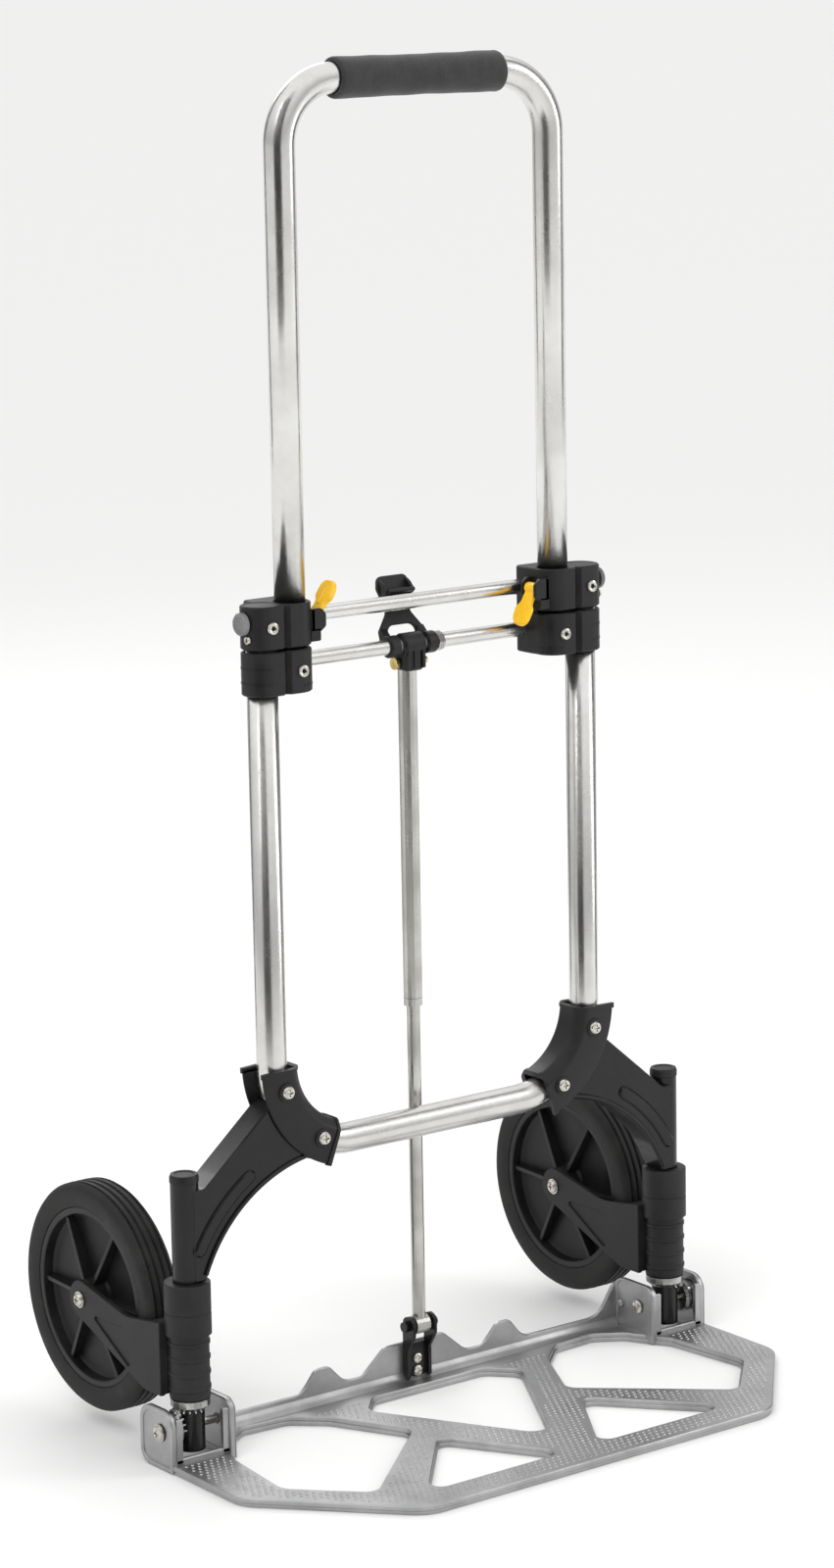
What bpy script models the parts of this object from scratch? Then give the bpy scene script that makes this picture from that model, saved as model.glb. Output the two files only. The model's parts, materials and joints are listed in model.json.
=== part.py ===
"""Folding hand truck: two nested U-tubes, swing-in wheels and a fold-up toe plate.

The design is in millimetres, +Z up, standing on Z = 0.  The toe plate points to -Y, the wheels
to +Y.  Right-hand pieces are modelled at +X and mirrored for the left.  MM turns the finished
meshes into metres.
"""
import math

import bmesh
import bpy
from mathutils import Matrix, Vector

MM = 0.001
GAP = 0.3              # between pieces that touch, or that slide on each other
CUT_PAST = 2.0         # how far a cutter runs out of the face it opens

# Tubes
TUBE_RADIUS = 11.0
TUBE_WALL = 1.2
LOWER_TUBE_X = 142.0
LOWER_BAR_Z = 211.0
LOWER_BEND = 65.0
LOWER_TUBE_TOP = 602.0
HANDLE_TUBE_X = 117.0
HANDLE_FOOT_Z = 543.0
HANDLE_TOP_Z = 961.0
HANDLE_BEND = 45.0
GRIP_RADIUS = 14.5
GRIP_LENGTH = 144.0
CROSSBAR_RADIUS = 5.5
CROSSBAR_END_X = 130.0
CROSSBAR_Y = 18.0

# Sliding blocks
BLOCK_LOBE = 14.5
BLOCK_GROOVE = 3.5
BLOCK_BACK_Y = 26.0
BLOCK_HEIGHT = 31.5
UPPER_BLOCK_Z = 573.5
LOWER_BLOCK_Z = 541.0
UPPER_CROSSBAR_Z = 589.5
LOWER_CROSSBAR_Z = 558.2
RIVET_RADIUS = 2.2
RIVET_HEAD = 4.5
RIVET_HEAD_HEIGHT = 2.2
RIVET_ABOVE_BLOCK = 15.5
RIVET_REACH = 6.5
LOCK_PIN_RADIUS = 3.0
LOCK_PIN_Z = 592.0
LOCK_CAP_RADIUS = 8.0
LOCK_CAP_HEIGHT = 4.0
LOCK_TRAVEL = 3.0

# Yellow locking levers
LEVER_PIVOT_X = 98.0
LEVER_PIVOT_Z = 590.5
LEVER_Y = -1.0
LEVER_LENGTH = 29.0
LEVER_WIDTH = 18.0
LEVER_THICK = 3.0
LEVER_HUB = 4.2
LEVER_HUB_WIDTH = 11.4
LEVER_NECK_END = 15.0
LEVER_PIN_RADIUS = 1.6
BOSS_WALL = 3.0
BOSS_LOW_Z = 582.0
BOSS_HIGH_Z = 598.0
BOSS_INNER_X = 93.0
LEFT_LEVER_TILT = 53.8
RIGHT_LEVER_TILT = 240.0

# Posts, gussets and elbow clamps
POST_X = 219.0
POST_RADIUS = 10.0
POST_FOOT_Z = 10.0
POST_TOP_Z = 205.0
POST_CAP_HEIGHT = 6.0
GUSSET_HALF = 11.0
GUSSET_SHEET = 1.5
GUSSET_FOOT_Z = 133.5
GUSSET_TOP_Z = 200.0
GUSSET_ARC = 112.0
GUSSET_ARC_X = 104.0
GUSSET_ARC_Z = 95.0
ELBOW_WALL = 3.7
ELBOW_INNER_WEB = 2.7
ELBOW_WEB_GAP = 0.7
ELBOW_OUTER = 82.0
ELBOW_START = 2.0
ELBOW_END = 72.0
ELBOW_SCREW_ANGLES = (15.8, 60.2)
SCREW_RADIUS = 2.5
SCREW_HEAD = 5.0
SCREW_HEAD_HEIGHT = 3.2
SCREW_REACH = 8.0

# Forks and wheels
AXLE_Y = 110.0
AXLE_Z = 96.0
AXLE_RADIUS = 4.0
AXLE_HEAD = 7.0
AXLE_HEAD_HEIGHT = 3.1
FORK_INNER = 16.0
FORK_ARM = 3.6
FORK_FOOT_Z = 48.0
FORK_TOP_Z = 133.0
SLEEVE_RADIUS = 14.6
COLLAR_RADIUS = 16.7
COLLAR_Z = 95.0
FORK_WEB_Y = (14.0, 21.0)
ARM_TIP = 12.0
WHEEL_RADIUS = 84.0
TYRE_HALF = 14.0
TYRE_SEAT = 66.0
HUB_HALF = 15.3
HUB_BOSS = 14.0
HUB_WEB = 3.0
HUB_RIBS = 6
HUB_RIB_THICK = 4.0
HUB_RIM = 5.0
WHEEL_FACETS = 26      # hub and tyre share their facets, so that they nest
BEARING_RADIUS = 7.5

# Hinge and its mitre gears, which meet at a point on the post's axis
HINGE_Z = 27.0
HINGE_BOLT_RADIUS = 3.0
HINGE_BOLT_HEAD = 6.5
HINGE_BOLT_OUTER_X = 248.6
HINGE_BOLT_INNER_X = 189.4
GEAR_PITCH = 13.5
GEAR_TEETH = 20
GEAR_MADE_TEETH = 7
GEAR_INNER_SHARE = 0.87
TOOTH_TIP = 1.0
TOOTH_ROOT = 1.4
TOOTH_BASE_WIDTH = 1.7
TOOTH_TIP_WIDTH = 0.9

# Toe plate
PLATE_THICK = 6.5
PLATE_HALF_WIDTH = 245.5
PLATE_FRONT_Y = -194.0
PLATE_REAR_Y = 31.5
FLANGE_THICK = 3.5
EAR_TOP_ABOVE_HINGE = 17.5
OUTER_EAR_X = (241.0, 246.0)
INNER_EAR_X = (192.0, 198.0)
SILL_Y = (-15.5, -12.0)
SILL_TOP = 10.0

# Strut, clevis and latch
STRUT_Y = 22.0
STRUT_RADIUS = 7.0
STRUT_BORE = 6.0
STRUT_FOOT_Z = 298.0
STRUT_TOP_Z = 549.0
STRUT_BOLT_Z = 545.0
STRUT_BOLT_RADIUS = 2.5
HEAD_HALF = 9.0
HEAD_FOOT_Z = 540.0
HEAD_TOP_Z = 567.0
ROD_RADIUS = 5.0
ROD_FOOT_Z = 43.0
ROD_TOP_Z = 320.0
ROD_EYE_Z = 49.0
ROD_EYE_RADIUS = 7.0
ROD_EYE_HALF = 6.0
CLEVIS_CHEEK = (8.5, 11.0)
CLEVIS_PIN_RADIUS = 3.0
CLEVIS_PIN_END = 14.5
CLEVIS_SCREW_Z = (22.0, 12.4)
LATCH_EYE = 8.0
LATCH_EYE_X = (12.0, 21.0)
LATCH_PLATE_Y = (24.0, 27.0)
LATCH_TOP_Z = 610.0
LATCH_HOOK_THICK = 3.0
LATCH_HOOK_REACH = 4.0
LATCH_REST_TILT = 16.5
SPRING_WIRE = 0.8
SPRING_TURNS = 3

# colour, roughness, metallic
CHROME = ("chromed_steel", (0.78, 0.79, 0.80), 0.14, 1.0)
STEEL = ("bare_steel", (0.62, 0.62, 0.61), 0.32, 1.0)
ZINC = ("zinc_plate", (0.66, 0.65, 0.61), 0.36, 1.0)
BLACK_PAINT = ("black_paint", (0.022, 0.022, 0.024), 0.38, 0.0)
BLACK_PLASTIC = ("black_plastic", (0.028, 0.028, 0.030), 0.48, 0.0)
FOAM = ("foam_grip", (0.020, 0.020, 0.021), 0.85, 0.0)
RUBBER = ("tyre_rubber", (0.035, 0.034, 0.033), 0.72, 0.0)
ALUMINIUM = ("cast_aluminium", (0.60, 0.60, 0.60), 0.42, 1.0)
YELLOW = ("yellow_plastic", (0.85, 0.62, 0.03), 0.42, 0.0)
GREY = ("grey_plastic", (0.38, 0.38, 0.39), 0.45, 0.0)


def clear_scene():
    for old in list(bpy.data.objects):
        bpy.data.objects.remove(old)


def material(finish):
    name, colour, roughness, metallic = finish
    made = bpy.data.materials.get(name) or bpy.data.materials.new(name)
    made.use_nodes = True
    shader = made.node_tree.nodes["Principled BSDF"]
    shader.inputs["Base Color"].default_value = (*colour, 1.0)
    shader.inputs["Roughness"].default_value = roughness
    shader.inputs["Metallic"].default_value = metallic
    return made


def put(axis, a, b, along):
    """The point with coordinate `along` on the axis, and a and b on the other two in order."""
    return {"X": (along, a, b), "Y": (a, along, b), "Z": (a, b, along)}[axis]


def arc(centre, radius, start, end, steps):
    """Points on a circle, angles in degrees."""
    turns = (math.radians(start + (end - start) * step / steps) for step in range(steps + 1))
    return [(centre[0] + radius * math.cos(t), centre[1] + radius * math.sin(t)) for t in turns]


def rounded(corners, steps=3):
    """An outline through corners (a, b, radius), with each corner turned on its own arc."""
    outline = []
    for index, (a, b, radius) in enumerate(corners):
        corner = Vector((a, b))
        if radius == 0:
            outline.append(corner)
            continue
        back = (Vector(corners[index - 1][:2]) - corner).normalized()
        ahead = (Vector(corners[(index + 1) % len(corners)][:2]) - corner).normalized()
        half = back.angle(ahead) / 2
        centre = corner + (back + ahead).normalized() * radius / math.sin(half)
        first = corner + back * radius / math.tan(half) - centre
        last = corner + ahead * radius / math.tan(half) - centre
        sweep = math.pi - 2 * half
        for step in range(steps + 1):
            t = step / steps
            blend = first * math.sin((1 - t) * sweep) + last * math.sin(t * sweep)
            outline.append(centre + blend / math.sin(sweep))
    return outline


def face_out(bm):
    """Make the faces agree and point outwards, judged by the volume they enclose."""
    bmesh.ops.recalc_face_normals(bm, faces=bm.faces)
    if bm.calc_volume(signed=True) < 0:
        bmesh.ops.reverse_faces(bm, faces=bm.faces)


def prism(axis, outline, low, high):
    bm = bmesh.new()
    face = bm.faces.new([bm.verts.new(put(axis, a, b, low)) for a, b in outline])
    grown = bmesh.ops.extrude_face_region(bm, geom=[face])["geom"]
    moved = [item for item in grown if isinstance(item, bmesh.types.BMVert)]
    bmesh.ops.translate(bm, verts=moved, vec=put(axis, 0, 0, high - low))
    face_out(bm)
    return bm


def block(x, y, z):
    return prism("Z", [(x[0], y[0]), (x[1], y[0]), (x[1], y[1]), (x[0], y[1])], z[0], z[1])


def turned(axis, centre, profile, segments=16):
    """A closed profile of (radius, along) turned a full circle about the axis."""
    bm = bmesh.new()
    loop = [bm.verts.new((radius, 0, along)) for radius, along in profile]
    edges = [bm.edges.new(pair) for pair in zip(loop, loop[1:])]
    if profile[0][0] > 0 or profile[-1][0] > 0:
        edges.append(bm.edges.new((loop[-1], loop[0])))
    bmesh.ops.spin(bm, geom=loop + edges, axis=(0, 0, 1), angle=2 * math.pi, steps=segments,
                   use_merge=True)
    bmesh.ops.remove_doubles(bm, verts=bm.verts, dist=0.0001)
    for vert in bm.verts:
        x, y, z = vert.co
        vert.co = put(axis, centre[0] + x, centre[1] + y, z)
    face_out(bm)
    return bm


def rod(axis, centre, radius, low, high, segments=16):
    return turned(axis, centre, [(0, low), (radius, low), (radius, high), (0, high)], segments)


def pipe(axis, centre, bore, radius, low, high, segments=16):
    return turned(axis, centre, [(bore, low), (radius, low), (radius, high), (bore, high)],
                  segments)


def scratch_object(bm):
    mesh = bpy.data.meshes.new("scratch")
    bm.to_mesh(mesh)
    bm.free()
    made = bpy.data.objects.new("scratch", mesh)
    bpy.context.collection.objects.link(made)
    return made


def boolean(base, tool, operation):
    """Base combined with one tool by an exact Boolean; both inputs are used up."""
    body = scratch_object(base)
    cutter = scratch_object(tool)
    change = body.modifiers.new("change", "BOOLEAN")
    change.operation = operation
    change.object = cutter
    result = bmesh.new()
    result.from_object(body, bpy.context.evaluated_depsgraph_get())
    for used in (body, cutter):
        bpy.data.objects.remove(used)
    return result


def joined(base, *tools):
    for tool in tools:
        base = boolean(base, tool, "UNION")
    return base


def cut(base, *tools):
    for tool in tools:
        base = boolean(base, tool, "DIFFERENCE")
    return base


def turn(bm, degrees, axis, centre=(0, 0, 0)):
    bmesh.ops.rotate(bm, verts=bm.verts, cent=centre,
                     matrix=Matrix.Rotation(math.radians(degrees), 3, axis))
    return bm


def finish(name, bm, look, origin=(0, 0, 0), left=False):
    """Make the named object from a mesh in millimetres, with its origin where asked."""
    if left:
        bmesh.ops.scale(bm, verts=bm.verts, vec=(-1, 1, 1))
        bmesh.ops.reverse_faces(bm, faces=bm.faces)
        origin = (-origin[0], origin[1], origin[2])
    bmesh.ops.translate(bm, verts=bm.verts, vec=-Vector(origin))
    bmesh.ops.scale(bm, verts=bm.verts, vec=(MM, MM, MM))
    mesh = bpy.data.meshes.new(name)
    bm.to_mesh(mesh)
    bm.free()
    mesh.shade_smooth()
    mesh.set_sharp_from_angle(angle=math.radians(35))
    mesh.materials.append(material(look))
    made = bpy.data.objects.new(name, mesh)
    made.location = Vector(origin) * MM
    bpy.context.collection.objects.link(made)
    return made


def pair(name, build, look, origin=(0, 0, 0)):
    finish("right_" + name, build(), look, origin)
    finish("left_" + name, build(), look, origin, left=True)


def swept_tube(path, radius, wall, segments=14):
    """A tube along a path in the XZ plane; path holds (point, in-plane normal) pairs."""
    bm = bmesh.new()
    rings = []
    for point, normal in path:
        for size in (radius, radius - wall):
            ring = []
            for step in range(segments):
                around = 2 * math.pi * step / segments
                offset = normal * math.cos(around) + Vector((0, 1, 0)) * math.sin(around)
                ring.append(bm.verts.new(point + offset * size))
            rings.append(ring)
    outer, inner = rings[0::2], rings[1::2]
    strips = list(zip(outer, outer[1:])) + list(zip(inner[1:], inner))
    strips += [(inner[0], outer[0]), (outer[-1], inner[-1])]
    for first, second in strips:
        for step in range(segments):
            after = (step + 1) % segments
            bm.faces.new((first[step], first[after], second[after], second[step]))
    face_out(bm)
    return bm


def u_path(half_width, end_z, bar_z, bend, steps=6):
    """Down one leg, round two bends and up the other; bar_z may be above or below end_z."""
    sign = 1 if bar_z > end_z else -1
    path = [(Vector((half_width, 0, end_z)), Vector((1, 0, 0)))]
    for centre_x, start in ((half_width - bend, 0), (bend - half_width, 90)):
        for step in range(steps + 1):
            angle = math.radians(start + 90 * step / steps)
            normal = Vector((math.cos(angle), 0, sign * math.sin(angle)))
            centre = Vector((centre_x, 0, bar_z - sign * bend))
            path.append((centre + normal * bend, normal))
    path.append((Vector((-half_width, 0, end_z)), Vector((-1, 0, 0))))
    return path


BEND_CENTRE = (LOWER_TUBE_X - LOWER_BEND, LOWER_BAR_Z + LOWER_BEND)


def elbow_screw_places():
    return [arc(BEND_CENTRE, LOWER_BEND, -angle, -angle, 1)[0] for angle in ELBOW_SCREW_ANGLES]


def lower_frame():
    bm = swept_tube(u_path(LOWER_TUBE_X, LOWER_TUBE_TOP, LOWER_BAR_Z, LOWER_BEND),
                    TUBE_RADIUS, TUBE_WALL)
    rivet_z = UPPER_BLOCK_Z + RIVET_ABOVE_BLOCK
    for side in (1, -1):
        for x, z in elbow_screw_places():
            bm = cut(bm, rod("Y", (side * x, z), SCREW_RADIUS + GAP, -TUBE_RADIUS - CUT_PAST, 0, 10))
        low, high = sorted((side * (LOWER_TUBE_X - 2 * TUBE_RADIUS),
                            side * (LOWER_TUBE_X + 2 * TUBE_RADIUS)))
        bm = cut(bm, rod("X", (0, LOCK_PIN_Z), LOCK_PIN_RADIUS + GAP, low, high, 12),
                 rod("Y", (side * LOWER_TUBE_X, rivet_z), RIVET_RADIUS + GAP,
                     -TUBE_RADIUS - CUT_PAST, 0, 10))
    finish("lower_frame", bm, CHROME)


def handle_tube():
    bm = swept_tube(u_path(HANDLE_TUBE_X, HANDLE_FOOT_Z, HANDLE_TOP_Z, HANDLE_BEND),
                    TUBE_RADIUS, TUBE_WALL)
    rivet_z = LOWER_BLOCK_Z + RIVET_ABOVE_BLOCK
    for side in (1, -1):
        low, high = sorted((side * HANDLE_TUBE_X, side * (HANDLE_TUBE_X + 2 * TUBE_RADIUS)))
        bm = cut(bm, rod("X", (0, LOCK_PIN_Z), LOCK_PIN_RADIUS + GAP, low, high, 12),
                 rod("Y", (side * HANDLE_TUBE_X, rivet_z), RIVET_RADIUS + GAP,
                     -TUBE_RADIUS - CUT_PAST, 0, 10))
    finish("handle_tube", bm, CHROME)


def grip():
    half = GRIP_LENGTH / 2
    bore = TUBE_RADIUS + GAP
    profile = [(bore, -half), (GRIP_RADIUS - 1.5, -half), (GRIP_RADIUS, 2 - half),
               (GRIP_RADIUS, half - 2), (GRIP_RADIUS - 1.5, half), (bore, half)]
    finish("foam_grip", turned("X", (0, HANDLE_TOP_Z), profile, 20), FOAM)


def block_body(low_z):
    """Two lobes round the two tubes, with a box behind for the crossbar's end."""
    middle = (LOWER_TUBE_X + HANDLE_TUBE_X) / 2
    outline = arc((LOWER_TUBE_X, 0), BLOCK_LOBE, -90, 80, 6)
    outline += [(CROSSBAR_END_X + 10, BLOCK_LOBE), (CROSSBAR_END_X + 10, BLOCK_BACK_Y - 3),
                (CROSSBAR_END_X + 7, BLOCK_BACK_Y), (HANDLE_TUBE_X - 12, BLOCK_BACK_Y),
                (HANDLE_TUBE_X - 15, BLOCK_BACK_Y - 3), (HANDLE_TUBE_X - 15, BLOCK_LOBE - 5)]
    outline += arc((HANDLE_TUBE_X, 0), BLOCK_LOBE, 160, 270, 5)
    outline += [(middle - BLOCK_GROOVE, -BLOCK_LOBE), (middle, BLOCK_GROOVE - BLOCK_LOBE),
                (middle + BLOCK_GROOVE, -BLOCK_LOBE)]
    return prism("Z", outline, low_z, low_z + BLOCK_HEIGHT - GAP * 3)


def tube_bore(x, low, high):
    return rod("Z", (x, 0), TUBE_RADIUS + GAP, low, high)


def crossbar_bore(z):
    return rod("X", (CROSSBAR_Y, z), CROSSBAR_RADIUS + GAP, BOSS_INNER_X, CROSSBAR_END_X + GAP)


def rivet_bore(x, z):
    return rod("Y", (x, z), RIVET_RADIUS + GAP, -BLOCK_LOBE - CUT_PAST, 0, 10)


def upper_block():
    low = UPPER_BLOCK_Z
    boss_y = (LEVER_Y - LEVER_HUB_WIDTH / 2 - GAP - BOSS_WALL,
              LEVER_Y + LEVER_HUB_WIDTH / 2 + GAP + BOSS_WALL)
    slot_y = (boss_y[0] + BOSS_WALL, boss_y[1] - BOSS_WALL)
    boss_back = HANDLE_TUBE_X - BLOCK_LOBE + 1
    bm = joined(block_body(low), block((BOSS_INNER_X, boss_back + 3), boss_y,
                                       (BOSS_LOW_Z, BOSS_HIGH_Z)))
    slot = block((BOSS_INNER_X - CUT_PAST, LEVER_PIVOT_X + LEVER_HUB + GAP), slot_y,
                 (BOSS_LOW_Z - 1, BOSS_HIGH_Z + 1))
    return cut(bm, tube_bore(HANDLE_TUBE_X, low - CUT_PAST, low + BLOCK_HEIGHT + CUT_PAST),
               tube_bore(LOWER_TUBE_X, low - CUT_PAST, LOWER_TUBE_TOP + GAP),
               crossbar_bore(UPPER_CROSSBAR_Z), rivet_bore(LOWER_TUBE_X, low + RIVET_ABOVE_BLOCK),
               rod("X", (0, LOCK_PIN_Z), LOCK_PIN_RADIUS + GAP, HANDLE_TUBE_X,
                   LOWER_TUBE_X + BLOCK_LOBE + CUT_PAST, 12), slot,
               rod("Y", (LEVER_PIVOT_X, LEVER_PIVOT_Z), LEVER_PIN_RADIUS + GAP,
                   boss_y[0] - 1, boss_y[1] + 1, 10))


def lower_block():
    low = LOWER_BLOCK_Z
    return cut(block_body(low), tube_bore(HANDLE_TUBE_X, HANDLE_FOOT_Z - GAP, low + 2 * BLOCK_HEIGHT),
               tube_bore(LOWER_TUBE_X, low - CUT_PAST, low + BLOCK_HEIGHT + CUT_PAST),
               crossbar_bore(LOWER_CROSSBAR_Z), rivet_bore(HANDLE_TUBE_X, low + RIVET_ABOVE_BLOCK))


def rivet(x, low_z):
    seat = -BLOCK_LOBE - GAP
    top = seat - RIVET_HEAD_HEIGHT
    profile = [(0, top), (RIVET_HEAD - 1, top), (RIVET_HEAD, seat),
               (RIVET_RADIUS, seat), (RIVET_RADIUS, seat + RIVET_REACH), (0, seat + RIVET_REACH)]
    return turned("Y", (x, low_z + RIVET_ABOVE_BLOCK), profile, 10)


def crossbar(name, z):
    finish(name, rod("X", (CROSSBAR_Y, z), CROSSBAR_RADIUS, -CROSSBAR_END_X, CROSSBAR_END_X), STEEL,
           (0, CROSSBAR_Y, z))


def lock_pin():
    tip = (LOWER_TUBE_X + HANDLE_TUBE_X) / 2 - 0.5
    back = LOWER_TUBE_X + BLOCK_LOBE - LOCK_TRAVEL - 0.5
    return rod("X", (0, LOCK_PIN_Z), LOCK_PIN_RADIUS, tip, back, 12)


def lock_cap():
    seat = LOWER_TUBE_X + BLOCK_LOBE + GAP
    top = seat + LOCK_CAP_HEIGHT
    profile = [(0, seat), (LOCK_CAP_RADIUS, seat), (LOCK_CAP_RADIUS, top - 1),
               (LOCK_CAP_RADIUS - 1, top), (0, top)]
    return turned("X", (0, LOCK_PIN_Z), profile)


def lever(tilt):
    """A blade on a hub, made pointing to +X and then tilted up by the angle given."""
    half_hub = LEVER_HUB_WIDTH / 2
    half = LEVER_WIDTH / 2
    blade = rounded([(0, -half_hub, 0), (LEVER_NECK_END - 3, -half_hub, 2),
                     (LEVER_NECK_END, -half, 2), (LEVER_LENGTH, -half, 4),
                     (LEVER_LENGTH, half, 4), (LEVER_NECK_END, half, 2),
                     (LEVER_NECK_END - 3, half_hub, 2), (0, half_hub, 0)], 2)
    bm = joined(rod("Y", (0, 0), LEVER_HUB, -half_hub, half_hub, 16),
                prism("Z", blade, -LEVER_THICK / 2, LEVER_THICK / 2))
    bm = cut(bm, rod("Y", (0, 0), LEVER_PIN_RADIUS + GAP, -half_hub - 1, half_hub + 1, 10))
    return turn(bm, -tilt, "Y")


def levers():
    for name, side, tilt in (("right_lever", 1, RIGHT_LEVER_TILT), ("left_lever", -1, LEFT_LEVER_TILT)):
        bm = lever(tilt)
        place = (side * LEVER_PIVOT_X, LEVER_Y, LEVER_PIVOT_Z)
        bmesh.ops.translate(bm, verts=bm.verts, vec=place)
        finish(name, bm, YELLOW, place)


def lever_pin():
    reach = LEVER_HUB_WIDTH / 2 + BOSS_WALL
    return rod("Y", (LEVER_PIVOT_X, LEVER_PIVOT_Z), LEVER_PIN_RADIUS, LEVER_Y - reach,
               LEVER_Y + reach, 10)


def post():
    tube = pipe("Z", (POST_X, 0), POST_RADIUS - TUBE_WALL, POST_RADIUS, POST_FOOT_Z, POST_TOP_Z)
    return cut(tube, rod("X", (0, HINGE_Z), HINGE_BOLT_RADIUS + GAP, POST_X - 2 * POST_RADIUS,
                         POST_X + 2 * POST_RADIUS, 12))


def post_cap():
    seat = POST_TOP_Z + GAP
    bore = POST_RADIUS - TUBE_WALL - GAP
    top = seat + POST_CAP_HEIGHT
    profile = [(0, seat - 8), (bore, seat - 8), (bore, seat), (POST_RADIUS, seat),
               (POST_RADIUS, top - 2.5), (POST_RADIUS - 2.5, top), (0, top)]
    return turned("Z", (POST_X, 0), profile)


def gusset_outline(inset):
    """The boxed gusset's side view; inset shrinks it by the sheet for the hollow inside."""
    centre = (GUSSET_ARC_X, GUSSET_ARC_Z)
    seat = LOWER_BEND + TUBE_RADIUS + GAP + 0.1
    outline = arc(centre, GUSSET_ARC + inset, 86, 20.1, 12)
    outline += [(POST_X, GUSSET_FOOT_Z), (POST_X, GUSSET_TOP_Z), (POST_X - 9, GUSSET_TOP_Z)]
    outline += arc(BEND_CENTRE, seat, -19, -66, 6)
    return outline


def gusset_hollow():
    """The space inside the box, open towards the tube's bend."""
    inner_x = POST_X - POST_RADIUS - GAP - 2 * GUSSET_SHEET
    bend_side = arc(BEND_CENTRE, LOWER_BEND, -27, -62, 4)
    outline = arc((GUSSET_ARC_X, GUSSET_ARC_Z), GUSSET_ARC + GUSSET_SHEET, 80, 26, 10)
    outline += [(inner_x, GUSSET_TOP_Z - 2 * GUSSET_SHEET)]
    return prism("Y", outline + bend_side, GUSSET_SHEET - GUSSET_HALF, GUSSET_HALF - GUSSET_SHEET)


def gusset():
    body = prism("Y", gusset_outline(0), -GUSSET_HALF, GUSSET_HALF)
    return cut(body, gusset_hollow(), rod("Z", (POST_X, 0), POST_RADIUS + GAP,
                                          GUSSET_FOOT_Z - CUT_PAST, GUSSET_TOP_Z + CUT_PAST))


def elbow():
    half = TUBE_RADIUS + GAP + ELBOW_WALL
    seat = TUBE_RADIUS + GAP
    web_outer = LOWER_BEND - seat - ELBOW_WEB_GAP
    web_inner = web_outer - ELBOW_INNER_WEB
    section = [(web_inner, -half), (ELBOW_OUTER, -half), (ELBOW_OUTER, -seat),
               (web_outer, -seat), (web_outer, seat), (ELBOW_OUTER, seat),
               (ELBOW_OUTER, half), (web_inner, half)]
    bm = bmesh.new()
    face = bm.faces.new([bm.verts.new((radius, y, 0)) for radius, y in section])
    turn(bm, ELBOW_START, "Y")
    bmesh.ops.spin(bm, geom=[face], axis=(0, 1, 0), angle=math.radians(ELBOW_END - ELBOW_START),
                   steps=7)
    bmesh.ops.translate(bm, verts=bm.verts, vec=(BEND_CENTRE[0], 0, BEND_CENTRE[1]))
    face_out(bm)
    for place in elbow_screw_places():
        bm = cut(bm, rod("Y", place, SCREW_RADIUS + GAP, -half - CUT_PAST, -seat + CUT_PAST, 10))
    return bm


def screw(place, seat, reach):
    """A round-headed screw along +Y, its head's underside at seat."""
    top = seat - SCREW_HEAD_HEIGHT
    profile = [(0, top), (SCREW_HEAD - 1.5, top), (SCREW_HEAD, top + 1.5), (SCREW_HEAD, seat),
               (SCREW_RADIUS, seat), (SCREW_RADIUS, seat + reach), (0, seat + reach)]
    return turned("Y", place, profile, 10)


def fork():
    outer = FORK_INNER + FORK_ARM
    tip = arc((AXLE_Y, AXLE_Z), ARM_TIP, -59, 92, 8)
    arm = [(-2, 50), (57, 50)] + tip + [(36, 106), (-2, 106)]
    lip = FORK_TOP_Z - 2
    sleeve = [(0, FORK_FOOT_Z), (SLEEVE_RADIUS, FORK_FOOT_Z), (SLEEVE_RADIUS, COLLAR_Z),
              (COLLAR_RADIUS, COLLAR_Z), (COLLAR_RADIUS, lip), (SLEEVE_RADIUS, FORK_TOP_Z),
              (0, FORK_TOP_Z)]
    bm = turned("Z", (POST_X, 0), sleeve, 20)
    bm = joined(bm, block((POST_X - outer + 0.5, POST_X + outer - 0.5), FORK_WEB_Y, (52, 104)))
    for side in (-1, 1):
        low, high = sorted((POST_X + side * FORK_INNER, POST_X + side * outer))
        axle_hole = rod("X", (AXLE_Y, AXLE_Z), AXLE_RADIUS + GAP, low - CUT_PAST, high + CUT_PAST, 12)
        bm = joined(bm, cut(prism("X", arm, low, high), axle_hole))
    return cut(bm, rod("Z", (POST_X, 0), POST_RADIUS + GAP, FORK_FOOT_Z - CUT_PAST,
                       FORK_TOP_Z + CUT_PAST, 20))


def axle_bolt():
    seat = FORK_INNER + FORK_ARM + GAP
    end = seat + AXLE_HEAD_HEIGHT
    profile = [(0, -end), (AXLE_HEAD - 1, -end), (AXLE_HEAD, 1 - end), (AXLE_HEAD, -seat),
               (AXLE_RADIUS, -seat), (AXLE_RADIUS, seat), (AXLE_HEAD, seat), (AXLE_HEAD, end - 1),
               (AXLE_HEAD - 1, end), (0, end)]
    bm = turned("X", (AXLE_Y, AXLE_Z), profile, 12)
    bmesh.ops.translate(bm, verts=bm.verts, vec=(POST_X, 0, 0))
    return bm


def wheel_turned(profile, segments):
    bm = turned("X", (AXLE_Y, AXLE_Z), profile, segments)
    bmesh.ops.translate(bm, verts=bm.verts, vec=(POST_X, 0, 0))
    return bm


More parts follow.
